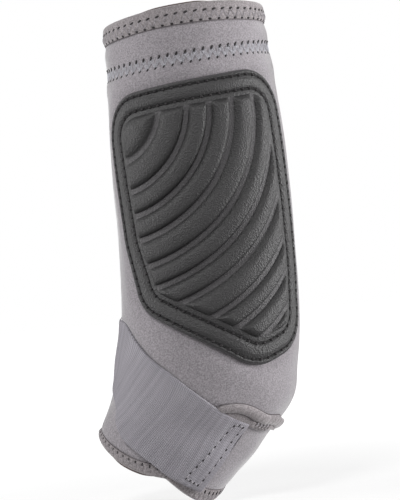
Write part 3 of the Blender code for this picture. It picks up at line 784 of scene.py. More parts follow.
def folded_tape(name, node, material, start, end, sizes, spot):
    """A folded tape between two places along it, puffed between its stitches."""
    reach, pitch, rows = sizes
    profile = tape_profile(reach)
    length = lengths(profile)

    def shape(place, row):
        down, out = profile[row].T
        shown = (row > 0) & (row < len(TAPE_FACE_SHARES) - 1)
        out = np.where(shown, tape_out(place, down, out, pitch, rows), out)
        angle, height, across = spot(place, down, length[row])
        return lay(angle, height, out), np.stack((place, across), -1)

    piece = loft(name, material, spread(start, end, TAPE_PITCH), np.arange(len(profile)), shape)
    return settle(piece, "edge_tape", node)


def edge_tape(name, node, material, start, end, edge, side, sizes):
    """The tape round the boot's rim (side -1) or mouth (side 1)."""
    def spot(place, down, length):
        angle = angle_at(place)
        return angle, edge(angle) + side * down, length

    piece = folded_tape(name, node, material, around(start), around(end), sizes, spot)
    join_body(piece, end == SPLIT_ANGLE)


def shadow_strip(name, material, start, end, line, out):
    """A dark strip of painted shadow between two pieces along a height, where a seam or crease lies in
    shade.
    """
    def edges(angle):
        return line(angle) - SEAM_LINE_HALF, line(angle) + SEAM_LINE_HALF

    flap = (start, min(end, SPLIT_ANGLE), "_flap")
    body = (max(start, SPLIT_ANGLE), end, "_body")
    for first, last, suffix in (flap, body):
        if first < last:
            places = (around(first), around(last))
            thread = strip(name + suffix, material, *places, edges, out, SEAM_LINE, rows=2)
            join_body(thread, suffix == "_flap")


def upright_tape(name, node, material, edge_angle, side, body):
    """A folded tape that runs up a free edge, its reach turned to one side."""
    foot = mouth(edge_angle) + MOUTH_REACH + LAYER_GAP
    top = rim(edge_angle) - RIM_REACH - LAYER_GAP

    def spot(height, down, length):
        return edge_angle + side * np.degrees(down / WRAP_RADIUS), height, down

    piece = folded_tape(name, node, material, float(foot), float(top), MOUTH_TAPE, spot)
    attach(piece, body)


def lining_hem(name, lining, start, end, edge, side):
    """The lining's brown edge, which shows a little past the tape over part of its length."""
    def edges(angle):
        shown = step(start, start + HEM_GROW_TURN, angle) * (1 - step(end - HEM_FADE_TURN, end, angle))
        near, far = edge(angle) + side * HEM_UNDER, edge(angle) - side * HEM_PAST * shown
        return np.minimum(near, far), np.maximum(near, far)

    hem = strip(name, lining, around(start), around(end), edges, HEM_OUT, HEM_THICK, rows=4)
    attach(hem, "boot_body")


def make_tapes(tape, line, brown):
    """Every bound edge of the boot, and the strips of painted shadow along them."""
    seam = SEAM_FOOT_ANGLE
    lobe = seam + SEAM_GAP_ANGLE
    round_rim = (rim, -1, RIM_TAPE)
    round_mouth = (mouth, 1, MOUTH_TAPE)
    edge_tape("rim_tape_body", "rim_binding_main", tape, SPLIT_ANGLE, TAIL_ANGLE, *round_rim)
    edge_tape("rim_tape_flap", "rim_binding_flap", tape, FLAP_EDGE_ANGLE, SPLIT_ANGLE, *round_rim)
    edge_tape("mouth_tape_body", "mouth_binding_main", tape, SPLIT_ANGLE, seam, *round_mouth)
    edge_tape("mouth_tape_lobe", "mouth_binding_sling", tape, lobe, TAIL_ANGLE, *round_mouth)
    edge_tape("mouth_tape_flap", "mouth_binding_flap", tape, FLAP_EDGE_ANGLE, SPLIT_ANGLE, *round_mouth)
    upright_tape("tail_tape", "tail_binding", tape, TAIL_ANGLE, -1, "boot_body")
    upright_tape("flap_edge_tape", "flap_edge_binding", tape, FLAP_EDGE_ANGLE, 1, "closure_flap")

    def under_rim(angle):
        return rim(angle) - RIM_REACH - RIM_SEAM_GAP

    def over_mouth(angle):
        return mouth(angle) + MOUTH_REACH + MOUTH_SEAM_GAP

    reach = turn(MOUTH_REACH)
    first, last = FLAP_EDGE_ANGLE + reach, TAIL_ANGLE - reach
    # Strips of painted shadow under the rim's tape and over the mouth's tape.
    shadow_strip("rim_seam_shadow", line, first, last, under_rim, -RIM_SEAM_SINK)
    shadow_strip("mouth_seam_shadow", line, first, seam, over_mouth, -MOUTH_SEAM_SINK)
    shadow_strip("lobe_seam_shadow", line, lobe, last, over_mouth, -MOUTH_SEAM_SINK)
    lining_hem("rim_lining_edge", brown, *RIM_HEM_ANGLES, rim, -1)
    lining_hem("mouth_lining_edge", brown, *MOUTH_HEM_ANGLES, mouth, 1)


# The rolled dart and the tape behind it


def grow(change, angle):
    """A change by some amount between two angles."""
    amount, start, end = change
    return amount * step(start, end, angle)


def crest(angle):
    """Upper edge of the dart's roll, lower where it goes under the strap and at its end."""
    return dart(angle) + DART_HALF - sum(grow(dip, angle) for dip in CREST_DIPS)


def apron_foot(angle):
    """Lower edge of the dart's binding: the strap's edge, and past the strap its own line."""
    own = crest(angle) - 2 * DART_HALF + APRON_GAP + grow(APRON_FOOT_RISE, angle)
    under = strap_edges(angle)[1] - APRON_HIDDEN
    clear = step(STRAP_SEWN_ANGLE, APRON_CLEAR_ANGLE, angle)
    return np.where(angle < STRAP_SEWN_ANGLE, under, own + (under - own) * (1 - clear))


def apron_out(angle):
    """Out distance of the flat part of the dart's binding."""
    bare = APRON_DEPTH * step(STRAP_SEWN_ANGLE - 2, STRAP_SEWN_ANGLE + 3, angle)
    return SEAT_GAP - APRON_SINK + bare + grow(APRON_OUT_RISE, angle)


def make_dart(tape, line):
    """The rolled binding along the dart, with its flat apron and its proud end at the back."""
    swing = np.linspace(0.0, math.pi, 15)
    roll = np.stack((0 * swing, 0.5 - 0.5 * np.cos(swing), np.sin(swing) ** 0.75), -1)
    rows = np.concatenate((roll, APRON_SHARES, ((2, 1.0, 0.0), (2, 0.0, 0.0))))
    base = SEAT_GAP - DART_SEAT

    def shape(place, row):
        part, share, rise = rows[row].T
        part = part.astype(int)
        angle = angle_at(place)
        taper = rounded(np.minimum(place - along[0], along[-1] - place) / DART_TAPER)
        top = crest(angle)
        foot = np.minimum(apron_foot(angle), top - ROLL_LEAST)
        middle = top - ROLL_WIDTH / 2
        top, foot = middle + (top - middle) * taper, middle + (foot - middle) * taper
        neck = top - np.minimum(ROLL_WIDTH * taper, top - foot)
        proud = ROLL_DEPTH * (0.5 + 0.5 * step(*ROLL_START_ANGLES, angle))
        proud = proud - ROLL_DIP * bell(ROLL_DIP_ANGLE, ROLL_DIP_TURN, angle)
        proud = proud + grow(ROLL_END_RISE, angle)
        ripple = waves(ROLL_WAVES, place, 0)
        starts, ends = np.choose(part, (top, neck, top)), np.choose(part, (neck, foot, foot))
        height = starts + (ends - starts) * share
        lift = rise * np.choose(part, (proud + ripple, apron_out(angle) - base, 0 * rise))
        return lay(angle, height, base + lift * taper), np.stack((place, height), -1)

    along = spread(around(DART_START_ANGLE), around(DART_END_ANGLE), TAPE_PITCH, roll=DART_TAPER)
    binding = loft("dart_roll", tape, along, np.arange(len(rows)), shape, sharp=math.pi)
    settle(binding, "edge_tape", "dart_binding", body="boot_body")

    def over_roll(angle):
        return crest(angle) + 0.0001

    def under_roll(angle):
        return crest(angle) - ROLL_WIDTH - grow(CREASE_DIP, angle)

    def seam_edges(angle):
        return dart(angle) - SEAM_TAPE_HALF, dart(angle) + SEAM_TAPE_HALF

    # Strips of painted shadow in the creases over and under the roll.
    shadow_strip("dart_crease_shadow", line, DART_START_ANGLE, DART_CREASE_END_ANGLE, over_roll, 0.0001)
    shadow_strip("roll_crease_shadow", line, *ROLL_CREASE_ANGLES, under_roll, 0.0003)
    places = (around(DART_END_ANGLE + 2), around(SEAM_TAPE_END_ANGLE))
    seam = strip("seam_tape", tape, *places, seam_edges, SEAM_TAPE_OUT, SEAM_TAPE)
    settle(seam, "edge_tape", "sling_seam_tape", body="boot_body")


# Flat bands: straps, tabs and patches


def band_profile(rows, roll):
    """Closed profile of a flat band: share across, bulge past the flat and level from mid."""
    flat = np.linspace(0, 1, rows + 1)
    swing = np.linspace(0, math.pi, 7)[1:-1]
    top = np.stack((flat, 0 * flat, 0 * flat + roll), -1)
    far = np.stack((1 + 0 * swing, roll * np.sin(swing), roll * np.cos(swing)), -1)
    back = np.linspace(1, 0, 5)
    under = np.stack((back, 0 * back, 0 * back - roll), -1)
    near = np.stack((0 * swing, -roll * np.sin(swing), -roll * np.cos(swing)), -1)
    return np.concatenate((top, far, under, near, top[:1]))


def strip(name, material, first, last, edges, under, thick, pitch=CLOTH_PITCH, rows=16,
          corners=(0.0, 0.0), lift=None, relief=None, pattern=None):
    """A flat band between two pattern places, with rolled edges, ends and rounded corners."""
    roll = thick / 2
    profile = band_profile(rows, roll)

    def shape(place, row):
        angle = angle_at(place)
        low, high = edges(angle)
        for gap, radius in ((place - first, corners[0]), (last - place, corners[1])):
            inner = np.clip(radius - gap, 0, radius)
            cut = radius - np.sqrt(np.clip(radius ** 2 - inner ** 2, 0, None))
            low, high = low + cut, high - cut
        full = rounded(np.minimum(place - first, last - place) / roll)
        share, bulge, level = profile[row].T
        height = low + roll + share * (high - low - 2 * roll) + bulge * full
        out = under + roll + level * full
        if lift is not None:
            out = out + lift(angle, height)
        if relief is not None:
            out = out + relief(angle, height) * (level > 0)
        flat = np.stack((place, height), -1) if pattern is None else pattern(place, height)
        return lay(angle, height, out), flat

    along = spread(first, last, pitch, roll)
    return loft(name, material, along, np.arange(len(profile)), shape)


def inset_edges(edges, margin):
    """The edges of a band moved in by a margin."""
    def moved(angle):
        low, high = edges(angle)
        return low + margin, high - margin

    return moved


def pile_patch(name, material, layer, first, last, edges, node, body):
    """A patch of hooks or loops with rounded corners."""
    under, thick, slot = layer
    patch = strip(name, material, first, last, edges, under, thick, corners=(PATCH_CORNER, PATCH_CORNER))
    settle(patch, slot, node, body=body)


def strap_pattern(place, height):
    """Place along and across the strap, with its ribs square to its middle line."""
    fine = np.linspace(*map(around, STRAP_SPAN_ANGLES), STRAP_SPAN_STEPS)
    low, high = strap_edges(angle_at(fine))
    middle = (low + high) / 2
    slope = np.gradient(middle, fine)
    length = np.concatenate(([0], np.cumsum(np.hypot(np.diff(fine), np.diff(middle)))))
    foot = place
    for _ in range(STRAP_FOOT_ROUNDS):
        aim = place + (height - np.interp(foot, fine, middle)) * np.interp(foot, fine, slope)
        foot = foot * 0.5 + aim * 0.5
    across = np.hypot(place - foot, height - np.interp(foot, fine, middle))
    side = np.sign(height - np.interp(foot, fine, middle))
    skew = STRAP_SKEW * (1 - step(STRAP_SKEW_ANGLE, STRAP_SEWN_ANGLE, angle_at(foot)))
    return np.stack((np.interp(foot, fine, length) + skew * across * side, across * side), -1)


def strap_relief(angle, height):
    """Slight waves of the stretched elastic."""
    return waves(STRAP_WAVES, around(angle), height)


def strap_lift(angle, height):
    """How the strap sinks into the neoprene, and lifts where it crosses the mouth's tape."""
    past = step(STRAP_STEP_FOOT, STRAP_STEP_TOP, height)
    return STRAP_BINDING_LIFT * (1 - past) - STRAP_SINK * past * step(*STRAP_SINK_ANGLES, angle)


def make_strap(elastic, hook, loop):
    """The elastic sling strap, its free end, and the hook and loop that hold it."""
    end = STRAP_SEWN_ANGLE - STRAP_TURN

    def end_lift(angle, height):
        landing = 1 - step(STRAP_PATCH_END_ANGLE, STRAP_PATCH_END_ANGLE + STRAP_LAND_TURN, angle)
        return strap_lift(angle, height) + (TAB_OUT - SEAT_GAP) * landing

    def band(name, node, start, stop, corner, lift):
        piece = strip(
            name, elastic, around(start), around(stop), strap_edges, STRAP_OUT, STRAP,
            pitch=STRAP_PITCH, rows=STRAP_ROWS, corners=(corner, 0.0), lift=lift,
            relief=strap_relief, pattern=strap_pattern,
        )
        return settle(piece, "strap_elastic", node)

    sewn = band("sling_elastic", "sling_strap", STRAP_JOIN_ANGLE, STRAP_SEWN_ANGLE, 0.0, strap_lift)
    join_body(sewn, True)
    free = band("sling_elastic_end", "sling_strap_end", end, STRAP_JOIN_ANGLE, STRAP_CORNER, end_lift)
    crease = (STRAP_JOIN_ANGLE, STRAP_BEND_END_ANGLE)
    bend(free, crease, STRAP_BEND_HEIGHT, 0.0)

    places = (around(end) + PATCH_MARGIN, around(STRAP_PATCH_END_ANGLE))
    inner = inset_edges(strap_edges, PATCH_MARGIN)
    outer = inset_edges(strap_edges, PATCH_MARGIN / 2)
    pile_patch("sling_hook_patch", hook, HOOKS, *places, inner, "sling_strap_hook", "strap_end")
    pile_patch("sling_loop_patch", loop, LOOPS, *places, outer, "sling_strap_loop", "closure_flap")


def root_drop(angle):
    """How far a tab comes down from its patch to the flap, at its sewn root."""
    return (TAB_OUT - SEAT_GAP) * step(TAB_STEP_START_ANGLE, TAB_STEP_END_ANGLE, angle)


def make_tabs(jersey, hook, loop):
    """The closure tabs with their sewn roots, hook patches and loop patches."""
    tip, root, end = around(TAB_TIP_ANGLE), around(TAB_ROOT_ANGLE), around(TAB_PATCH_END_ANGLE)
    for name, middle in TAB_HEIGHTS.items():
        def edges(angle):
            return middle - TAB_WIDTH / 2 + 0 * angle, middle + TAB_WIDTH / 2 + 0 * angle

        tab = strip(
            name + "_tab", jersey, tip, root, edges, TAB_OUT, TAB, rows=TAB_ROWS,
            corners=(TAB_CORNER, TAB_ROOT_CORNER), lift=lambda angle, height: -root_drop(angle),
        )
        settle(tab, "neoprene_fabric", name + "_closure_tab", name + "_tab_anchor")
        crease = (TAB_BEND_START_ANGLE, TAB_BEND_END_ANGLE)
        bend(tab, crease, middle, TAB_OUT)
        inner = inset_edges(edges, PATCH_MARGIN)
        hooks = (name + "_tab_hooks", hook, HOOKS, tip + PATCH_MARGIN, end, inner)
        loops = (name + "_body_loops", loop, LOOPS, tip, end, edges)
        pile_patch(*hooks, name + "_hook_patch", name + "_tab")
        pile_patch(*loops, name + "_loop_patch", "boot_body")


# The strike pad


def neighbours(corners):
    """Each corner with the one before it and the one after it."""
    return zip([corners[-1]] + corners[:-1], corners, corners[1:] + corners[:1])


def pad_corners(inset):
    """Corners and radii of the pad's outline, moved in by an inset."""
    across, up, radii = np.array(PAD_CORNER_SHARES).T
    places = zip(PAD_LEFT + across * PAD_WIDTH, PAD_BOTTOM + up * PAD_HEIGHT)
    moved = []
    for before, here, after in neighbours([Vector(place) for place in places]):
        arrive = (here - before).normalized()
        leave = (after - here).normalized()
        slide = inset * math.tan(-arrive.angle_signed(leave) / 2)
        moved.append(here + Vector((-arrive.y, arrive.x)) * inset - arrive * slide)
    return moved, np.maximum(radii * PAD_WIDTH - inset, PAD_LEAST_RADIUS)


def pad_ring(inset):
    """Points round the pad's outline, moved in by an inset, with the same count at any inset."""
    corners, radii = pad_corners(inset)
    points = []
    for (before, here, after), radius in zip(neighbours(corners), radii):
        back = (before - here).normalized()
        ahead = (after - here).normalized()
        half = back.angle(ahead) / 2
        middle = here + (back + ahead).normalized() * (radius / math.sin(half))
        start = here + back * (radius / math.tan(half)) - middle
        sweep = start.angle_signed(here + ahead * (radius / math.tan(half)) - middle)
        for index in range(PAD_ARC_STEPS + 1):
            points.append(middle + Matrix.Rotation(-sweep * index / PAD_ARC_STEPS, 2) @ start)
    return np.array(points)


def even_ring(inset, count):
    """The pad's outline at an inset, read at an even count of places along the outer outline."""
    length = lengths(closed(pad_ring(0.0)))
    return read_line(closed(pad_ring(inset)), length, np.linspace(0, length[-1], count + 1))


def border_face(inset):
    """Out distance of the pad's face, from its cut edge in to the ribbed field."""
    out = SEAT_GAP + PAD_EDGE + PAD_THICK * rounded(inset / PAD_THICK)
    swell, middle, half = PAD_EDGE_SWELL
    out = out + swell * bell(middle, half, inset)
    start, full, past, end = PAD_WELT_INSETS
    out = out + PAD_WELT * step(start, full, inset) * (1 - step(past, end, inset))
    for groove, (depth, half) in ((OUTER_STITCH_INSET, OUTER_GROOVE), (INNER_STITCH_INSET, INNER_GROOVE)):
        out = out - depth * np.exp(-(((inset - groove) / half) ** 2))
    rise = PAD_LAND_OUT - PAD_EDGE - (SEAT_GAP + PAD_EDGE + PAD_THICK)
    return out + rise * step(PAD_LAND_INSET, PAD_FIELD_INSET, inset)


def rib_puff(share):
    """Rise of a rib at a share of its width: a pillow, steeper on its lower side."""
    puff = 1 - RIB_ARCH + RIB_ARCH * np.sin(math.pi * share)
    for reach, (wide, power) in ((share, RIB_UPPER_SIDE), (1 - share, RIB_LOWER_SIDE)):
        puff = puff * np.sin(np.clip(reach / wide, 0, 1) * math.pi / 2) ** power
    return puff


def rib_rings(reach):
    """Radius and puff of rings through every rib and land, out to a reach."""
    rings = []
    start = 0.0
    for share in RIB_REACH_SHARES:
        radius = share * RIB_REACH
        stop = radius - RIB_LAND / 2
        rings += [(start + (stop - start) * part, float(rib_puff(part))) for part in RIB_SAMPLE_SHARES]
        rings.append((radius, 0.0))
        start = radius + RIB_LAND / 2
    return [ring for ring in rings if ring[0] < reach] + [(reach, 0.0)]


def ring_depth(points, ring):
    """Depth of pattern points inside a convex outline, negative outside it."""
    depth = np.full(len(points), np.inf)
    for here, side in sides(ring):
        size = np.linalg.norm(side)
        if size > WELD:
            depth = np.minimum(depth, (points - here) @ np.array((-side[1], side[0])) / size)
    return depth


def ray_reach(pole, angles, ring):
    """Where rays from a pole enter and leave a convex outline."""
    aim = np.stack((np.cos(angles), np.sin(angles)), -1)
    near = np.full(len(angles), np.inf)
    far = np.zeros(len(angles))
    for here, side in sides(ring):
        cross = aim[:, 0] * side[1] - aim[:, 1] * side[0]
        cross = np.where(np.abs(cross) < 1e-12, 1e-12, cross)
        gap = here - pole
        length = (gap[0] * side[1] - gap[1] * side[0]) / cross
        share = (gap[0] * aim[:, 1] - gap[1] * aim[:, 0]) / cross
        met = (share >= -1e-6) & (share <= 1 + 1e-6) & (length > 0)
        near = np.where(met, np.minimum(near, length), near)
        far = np.where(met, np.maximum(far, length), far)
    return np.where(near < far, near, 0), far


def make_pad_border(leatherette):
    """The pad's stitched border: a closed ring with a rolled edge and two stitch grooves."""
    inner = np.arange(PAD_BORDER_START, PAD_BORDER_REACH, PAD_BORDER_PITCH)
    insets = np.concatenate((PAD_BORDER_INSETS, inner, (PAD_BORDER_REACH,)))
    rows = face_and_back(insets, np.array(PAD_BACK_INSETS))
    rings = np.stack([even_ring(inset, PAD_BORDER_COLUMNS) for inset, _ in rows])

    def shape(column, row):
        points = rings[row, column]
        inset, top = rows[row].T
        out = np.where(top > 0, border_face(inset), SEAT_GAP)
        # The tone kept as the puff attribute: paler at the cut edge, and darker in the two stitch grooves
        # as painted shade.
        groove = bell(OUTER_STITCH_INSET, GROOVE_SHADE_HALF, inset)
        groove = groove + bell(INNER_STITCH_INSET, GROOVE_SHADE_HALF, inset)
        tone = step(*EDGE_SHADE_INSETS, inset) * (1 - GROOVE_SHADE * groove)
        return lay(angle_at(points[:, 0]), points[:, 1], out), points, tone

    columns = np.arange(PAD_BORDER_COLUMNS + 1)
    border = loft("strike_pad_border", leatherette, columns, np.arange(len(rows)), shape)
    settle(border, "pad_leatherette", "strike_pad_base", body="boot_body")


def make_pad_ribs(leatherette):
    """The pad's moulded field: puffed ribs that fan out round its upper front corner."""
    field = pad_ring(PAD_FIELD_INSET)
    corners, _ = pad_corners(PAD_FIELD_INSET)
    pole = np.array(corners[0]) + (0, RIB_CENTRE_RISE)
    squeeze = np.array((RIB_NARROWING, 1.0))
    round_field = pole + (field - pole) / squeeze
    bearing = np.arctan2(*(round_field - pole).T[::-1])
    angles = np.linspace(bearing.min() + 0.0005, bearing.max() - 0.0005, PAD_COLUMNS)
    aims = np.stack((np.cos(angles), np.sin(angles)), -1)
    enter, leave = ray_reach(pole, angles, round_field)
    rings = np.array(rib_rings(float(leave.max())))
    # The back takes every twelfth ring and is marked by a share below 0
    rows = np.concatenate((rings, rings[::-12] * (1, 0) - (0, 1), rings[:1]))

    def shape(column, row):
        radius, share = rows[row].T
        reach = np.clip(radius, enter[column], leave[column])
        points = pole + aims[column] * reach[:, None] * squeeze
        depth = np.clip(ring_depth(points, field), 0, None)
        fade = np.sin(np.clip(depth / RIB_FADE, 0, 1) * math.pi / 2)
        # This puff, faded towards the field's edge, is also kept as an attribute from which the leatherette
        # paints shade on the ribs' slopes and ends.
        puff = np.interp(reach, rings[:, 0], rings[:, 1]) * fade
        top = PAD_LAND_OUT - RIB_EDGE_DROP * (1 - rounded(depth / RIB_EDGE)) + PAD_CROWN * puff
        out = np.where(share >= 0, top, PAD_LAND_OUT - RIB_BACK)
        return lay(angle_at(points[:, 0]), points[:, 1], out), points, puff

    ribs = loft("strike_pad_ribs", leatherette, np.arange(PAD_COLUMNS), np.arange(len(rows)), shape)
    settle(ribs, "pad_leatherette", "strike_pad_moulding", body="boot_body")


# Stitches and the holes they pull


def sew(name, material, starts, ends, face, radius, lift):
    """Thread between pairs of pattern points, each stitch a rounded length sunk at its ends."""
    starts, ends = np.asarray(starts, float), np.asarray(ends, float)
    for suffix, keep, bends in halves((starts[:, 0] + ends[:, 0]) / 2):
        first, run = starts[keep], ends[keep] - starts[keep]
        side = np.stack((-run[:, 1], run[:, 0]), -1) / np.linalg.norm(run, axis=1)[:, None]

        def stitch(which, local):
            share = (local[2] + 1) / 2
            waist = np.hypot(local[0], local[1])
            swell = np.where(waist > 1e-6, waist ** 0.45 / np.maximum(waist, 1e-6), 0) * radius
            line = first[which] + run[which] * share[:, None]
            place, height = (line + side[which] * (local[0] * swell)[:, None]).T
            arch = np.sin(math.pi * share) ** 0.7
            out = face(line[:, 0], line[:, 1]) + lift * arch - radius * THREAD_SINK * (1 - arch)
            return lay(angle_at(place), height, out + local[1] * swell * THREAD_FLATNESS)

        scatter(name + suffix, material, len(first), 6, 6, stitch, bends)


def punch(name, material, spots, face, wide, tall, proud, lean):
    """Needle holes: small dark bodies that lie in the cloth at pattern points, their colour the painted
    shade of the holes.
    """
    for suffix, keep, bends in halves(spots[:, 0]):
        spot = spots[keep]

        def hollow(which, local):
            height = spot[which, 1] + local[1] * tall
            place = spot[which, 0] + local[0] * wide + local[1] * tall * lean
            return lay(angle_at(place), height, face(place, height) + (0.4 + local[2]) * proud)

        scatter(name + suffix, material, len(spot), 8, 4, hollow, bends)


def zigzag(edge, side, pitch, rows, start, end):
    """Needle places of a zigzag between two distances from an edge."""
    foot = math.ceil(around(start) / pitch) * pitch
    count = int((around(end) - foot) / pitch * 2)
    place = foot + pitch / 2 * (0.5 + np.arange(count))
    odd = np.arange(count) % 2
    height = edge(angle_at(place)) + side * np.where(odd, rows[1], rows[0])
    return np.stack((place, height), -1)


def strands(points, count, near, far):
    """Starts and ends of the fine strands of each stitch, spread apart along the row."""
    starts, ends = [], []
    odd = (np.arange(len(points) - 1) % 2)[:, None]
    lead, trail = np.where(odd, far, near), np.where(odd, near, far)
    for share in np.linspace(-1, 1, count):
        starts.append(points[:-1] + share * lead * (1, 0))
        ends.append(points[1:] + share * trail * (1, 0))
    return np.concatenate(starts), np.concatenate(ends)


def tape_face(edge, side, reach, pitch, rows):
    """Out distance of a folded tape's face at pattern points."""
    profile = tape_profile(reach)[1:len(TAPE_FACE_SHARES)][::-1]

    def face(place, height):
        down = (height - edge(angle_at(place))) * side
        return tape_out(place, down, np.interp(down, profile[:, 0], profile[:, 1]), pitch, rows)

    return face


def make_stitching(light, bright, hole):
    """The zigzags of the shell: on the rim, below it and on the mouth."""
    ends = (FLAP_EDGE_ANGLE + 2.0, TAIL_ANGLE - 2.0)
    face = tape_face(rim, -1, *RIM_TAPE)
    points = zigzag(rim, -1, RIM_PITCH, RIM_ROWS, *ends)
    sew("rim_zigzag", light, *strands(points, *RIM_STRANDS), face, *RIM_THREAD)
    punch("rim_upper_holes", hole, points[::2], face, *RIM_UPPER_HOLE)
    punch("rim_lower_holes", hole, points[1::2], face, *RIM_LOWER_HOLE)

    def channel(place, height):
        return cloth_relief(angle_at(place), height)

    points = zigzag(second_row, 1, SECOND_ROW_PITCH, SECOND_ROWS, *ends)
    sew("second_zigzag", bright, *strands(points, *SECOND_STRANDS), channel, *SECOND_THREAD)
    punch("second_lower_holes", hole, points[::2], channel, *SECOND_LOWER_HOLE)
    punch("second_upper_holes", hole, points[1::2], channel, *SECOND_UPPER_HOLE)

    face = tape_face(mouth, 1, *MOUTH_TAPE)
    points = zigzag(mouth, 1, MOUTH_PITCH, MOUTH_ROWS, *ends)
    sew("mouth_zigzag", light, points[:-1], points[1:], face, *MOUTH_THREAD)
    punch("mouth_needle_holes", hole, points[1::2], face, *MOUTH_HOLE)


def running_stitch(line, pitch, share):
    """Start and end points of stitches a pitch apart along a pattern line."""
    length = lengths(line)
    count = max(1, round(length[-1] / pitch))
    starts = np.linspace(0, length[-1], count, endpoint=False)
    ends = starts + length[-1] / count * share
    return read_line(line, length, starts), read_line(line, length, ends)


def make_pad_stitching(dark, hole):
    """The two stitch lines round the strike pad, sunk in their grooves."""
    for name, inset in (("outer", OUTER_STITCH_INSET), ("inner", INNER_STITCH_INSET)):
        starts, ends = running_stitch(closed(pad_ring(inset)), PAD_STITCH_PITCH, PAD_STITCH_SHARE)

        def groove(place, height):
            return np.full(len(place), float(border_face(inset)) + PAD_STITCH_RISE)

        sew("pad_%s_stitches" % name, dark, starts, ends, groove, *PAD_THREAD)
        gaps = (ends + np.roll(starts, -1, axis=0)) / 2
        punch("pad_%s_needle_holes" % name, hole, gaps, groove, *PAD_HOLE)


def make_tab_stitching(light, hole):
    """The two rows of stitches that hold each tab's root on the flap."""
    def root(place, height):
        return TAB_OUT + TAB - root_drop(angle_at(place))

    reach = TAB_WIDTH / 2 - TAB_STITCH_MARGIN
    for name, middle in TAB_HEIGHTS.items():
        for row, angle in enumerate(TAB_STITCH_ANGLES):
            line = np.array(((around(angle), middle - reach), (around(angle), middle + reach)))
            starts, ends = running_stitch(line, BOX_STITCH_PITCH, BOX_STITCH_SHARE)
            gaps = (ends[:-1] + starts[1:]) / 2
            sew("%s_tab_stitches_%d" % (name, row), light, starts, ends, root, *TAB_THREAD)
            punch("%s_tab_holes_%d" % (name, row), hole, gaps, root, *STRAP_HOLE)


def strap_face(place, height):
    """Out distance of the sling strap's face at pattern points."""
    angle = angle_at(place)
    return STRAP_OUT + STRAP + strap_lift(angle, height) + strap_relief(angle, height)


def make_strap_stitching(light, hole, line):
    """The box stitch that holds the strap's sewn end, and the overlock at the dart's end."""
    angle, height = np.array(BOX_PLACES).T
    box = closed(np.stack((around(angle), height), -1))
    starts, ends = running_stitch(box, BOX_STITCH_PITCH, BOX_STITCH_SHARE)
    sew("box_stitches", light, starts, ends, strap_face, *BOX_THREAD)
    gaps = (ends + np.roll(starts, -1, axis=0)) / 2
    punch("box_needle_holes", hole, gaps, strap_face, *STRAP_HOLE)

    def apron(place, height):
        return apron_out(angle_at(place))

    angle = np.linspace(*OVERLOCK_ANGLES, OVERLOCK_RUNGS)
    low = np.stack((around(angle), apron_foot(angle) + OVERLOCK_MARGIN), -1)
    high = low + OVERLOCK_RISE
    sew("overlock_rungs", line, low, high, apron, *RUNG_THREAD)
    sew("overlock_rail", line, low[:-1], low[1:], apron, *RAIL_THREAD)
    between = ((low[:-1] + low[1:]) / 2, (high[:-1] + high[1:]) / 2)
    sew("overlock_cells", light, *between, apron, *CELL_THREAD)


# Finishes


def tint(red, green, blue):
    """A colour as written for a screen, as the shader's own value."""
    shares = [value / 255 for value in (red, green, blue)]
    return (*(s / 12.92 if s < 0.04045 else ((s + 0.055) / 1.055) ** 2.4 for s in shares), 1)


def add(tree, kind, inputs=None, **settings):
    """Add a shader node with its settings, and set or link its inputs by name."""
    made = tree.nodes.new(kind)
    for setting, value in settings.items():
        setattr(made, setting, value)
    for socket, value in (inputs or {}).items():
        if isinstance(value, bpy.types.NodeSocket):
            tree.links.new(value, made.inputs[socket])
        else:
            made.inputs[socket].default_value = value
    return made


def finish(name):
    """A new material, its nodes, and the place on a piece to read patterns from."""
    material = bpy.data.materials.new(name)
    material.use_nodes = True
    tree = material.node_tree
    tree.nodes.clear()
    return material, tree, add(tree, "ShaderNodeTexCoord").outputs["Object"]


def dress(tree, colour, height, strength, distance, values):
    """Finish a material with its colour, the relief of its grain and its shader's plain values."""
    relief = add(tree, "ShaderNodeBump", {"Strength": strength, "Distance": distance, "Height": height})
    inputs = {"Base Color": colour, "Normal": relief.outputs["Normal"], **values}
    shader = add(tree, "ShaderNodeBsdfPrincipled", inputs)
    add(tree, "ShaderNodeOutputMaterial", {"Surface": shader.outputs["BSDF"]})


def noise(tree, place, scale, detail, **settings):
    """Soft noise read at a place."""
    inputs = {"Vector": place, "Scale": scale, "Detail": detail}
    return add(tree, "ShaderNodeTexNoise", inputs, **settings).outputs["Fac"]


def cells(tree, place, scale):
    """Distance from the middles of small cells, read at a place."""
    return add(tree, "ShaderNodeTexVoronoi", {"Vector": place, "Scale": scale}).outputs["Distance"]


def reckon(tree, operation, *values):
    """The result of a sum or product of values and sockets."""
    return add(tree, "ShaderNodeMath", dict(enumerate(values)), operation=operation).outputs[0]


def multiply(tree, first, second):
    """Two colours multiplied."""
    inputs = {"Factor": 1.0, "A": first, "B": second}
    made = add(tree, "ShaderNodeMix", inputs, data_type="RGBA", blend_type="MULTIPLY")
    return made.outputs["Result"]


def ramp(tree, value, stops):
    """A colour ramp through places and colours."""
    made = add(tree, "ShaderNodeValToRGB", {"Fac": value})
    while len(made.color_ramp.elements) < len(stops):
        made.color_ramp.elements.new(0.5)
    for element, (place, colour) in zip(made.color_ramp.elements, stops):
        element.position = place
        element.color = colour
    return made.outputs["Color"]


def grey(value):
    """A plain value as a colour."""
    return (value, value, value, 1)


def knit_finish(name, low, high, sheen):
    """Brushed knit over foam: fine loops, faint broad patches, and a pale bloom at the edges."""
    material, tree, spot = finish(name)
    loops = noise(tree, spot, KNIT_GRAIN, 3.0)
    tone = ramp(tree, loops, ((0.32, low), (0.68, high)))
    shade = ramp(tree, noise(tree, spot, 38.0, 3.0), ((0.30, grey(0.93)), (0.70, grey(1.0))))
    depth = reckon(tree, "MULTIPLY_ADD", loops, 0.8, cells(tree, spot, KNIT_GRAIN * 0.8))
    dress(tree, multiply(tree, tone, shade), depth, 0.3, 0.0002, {**KNIT, "Sheen Weight": sheen})
    return material


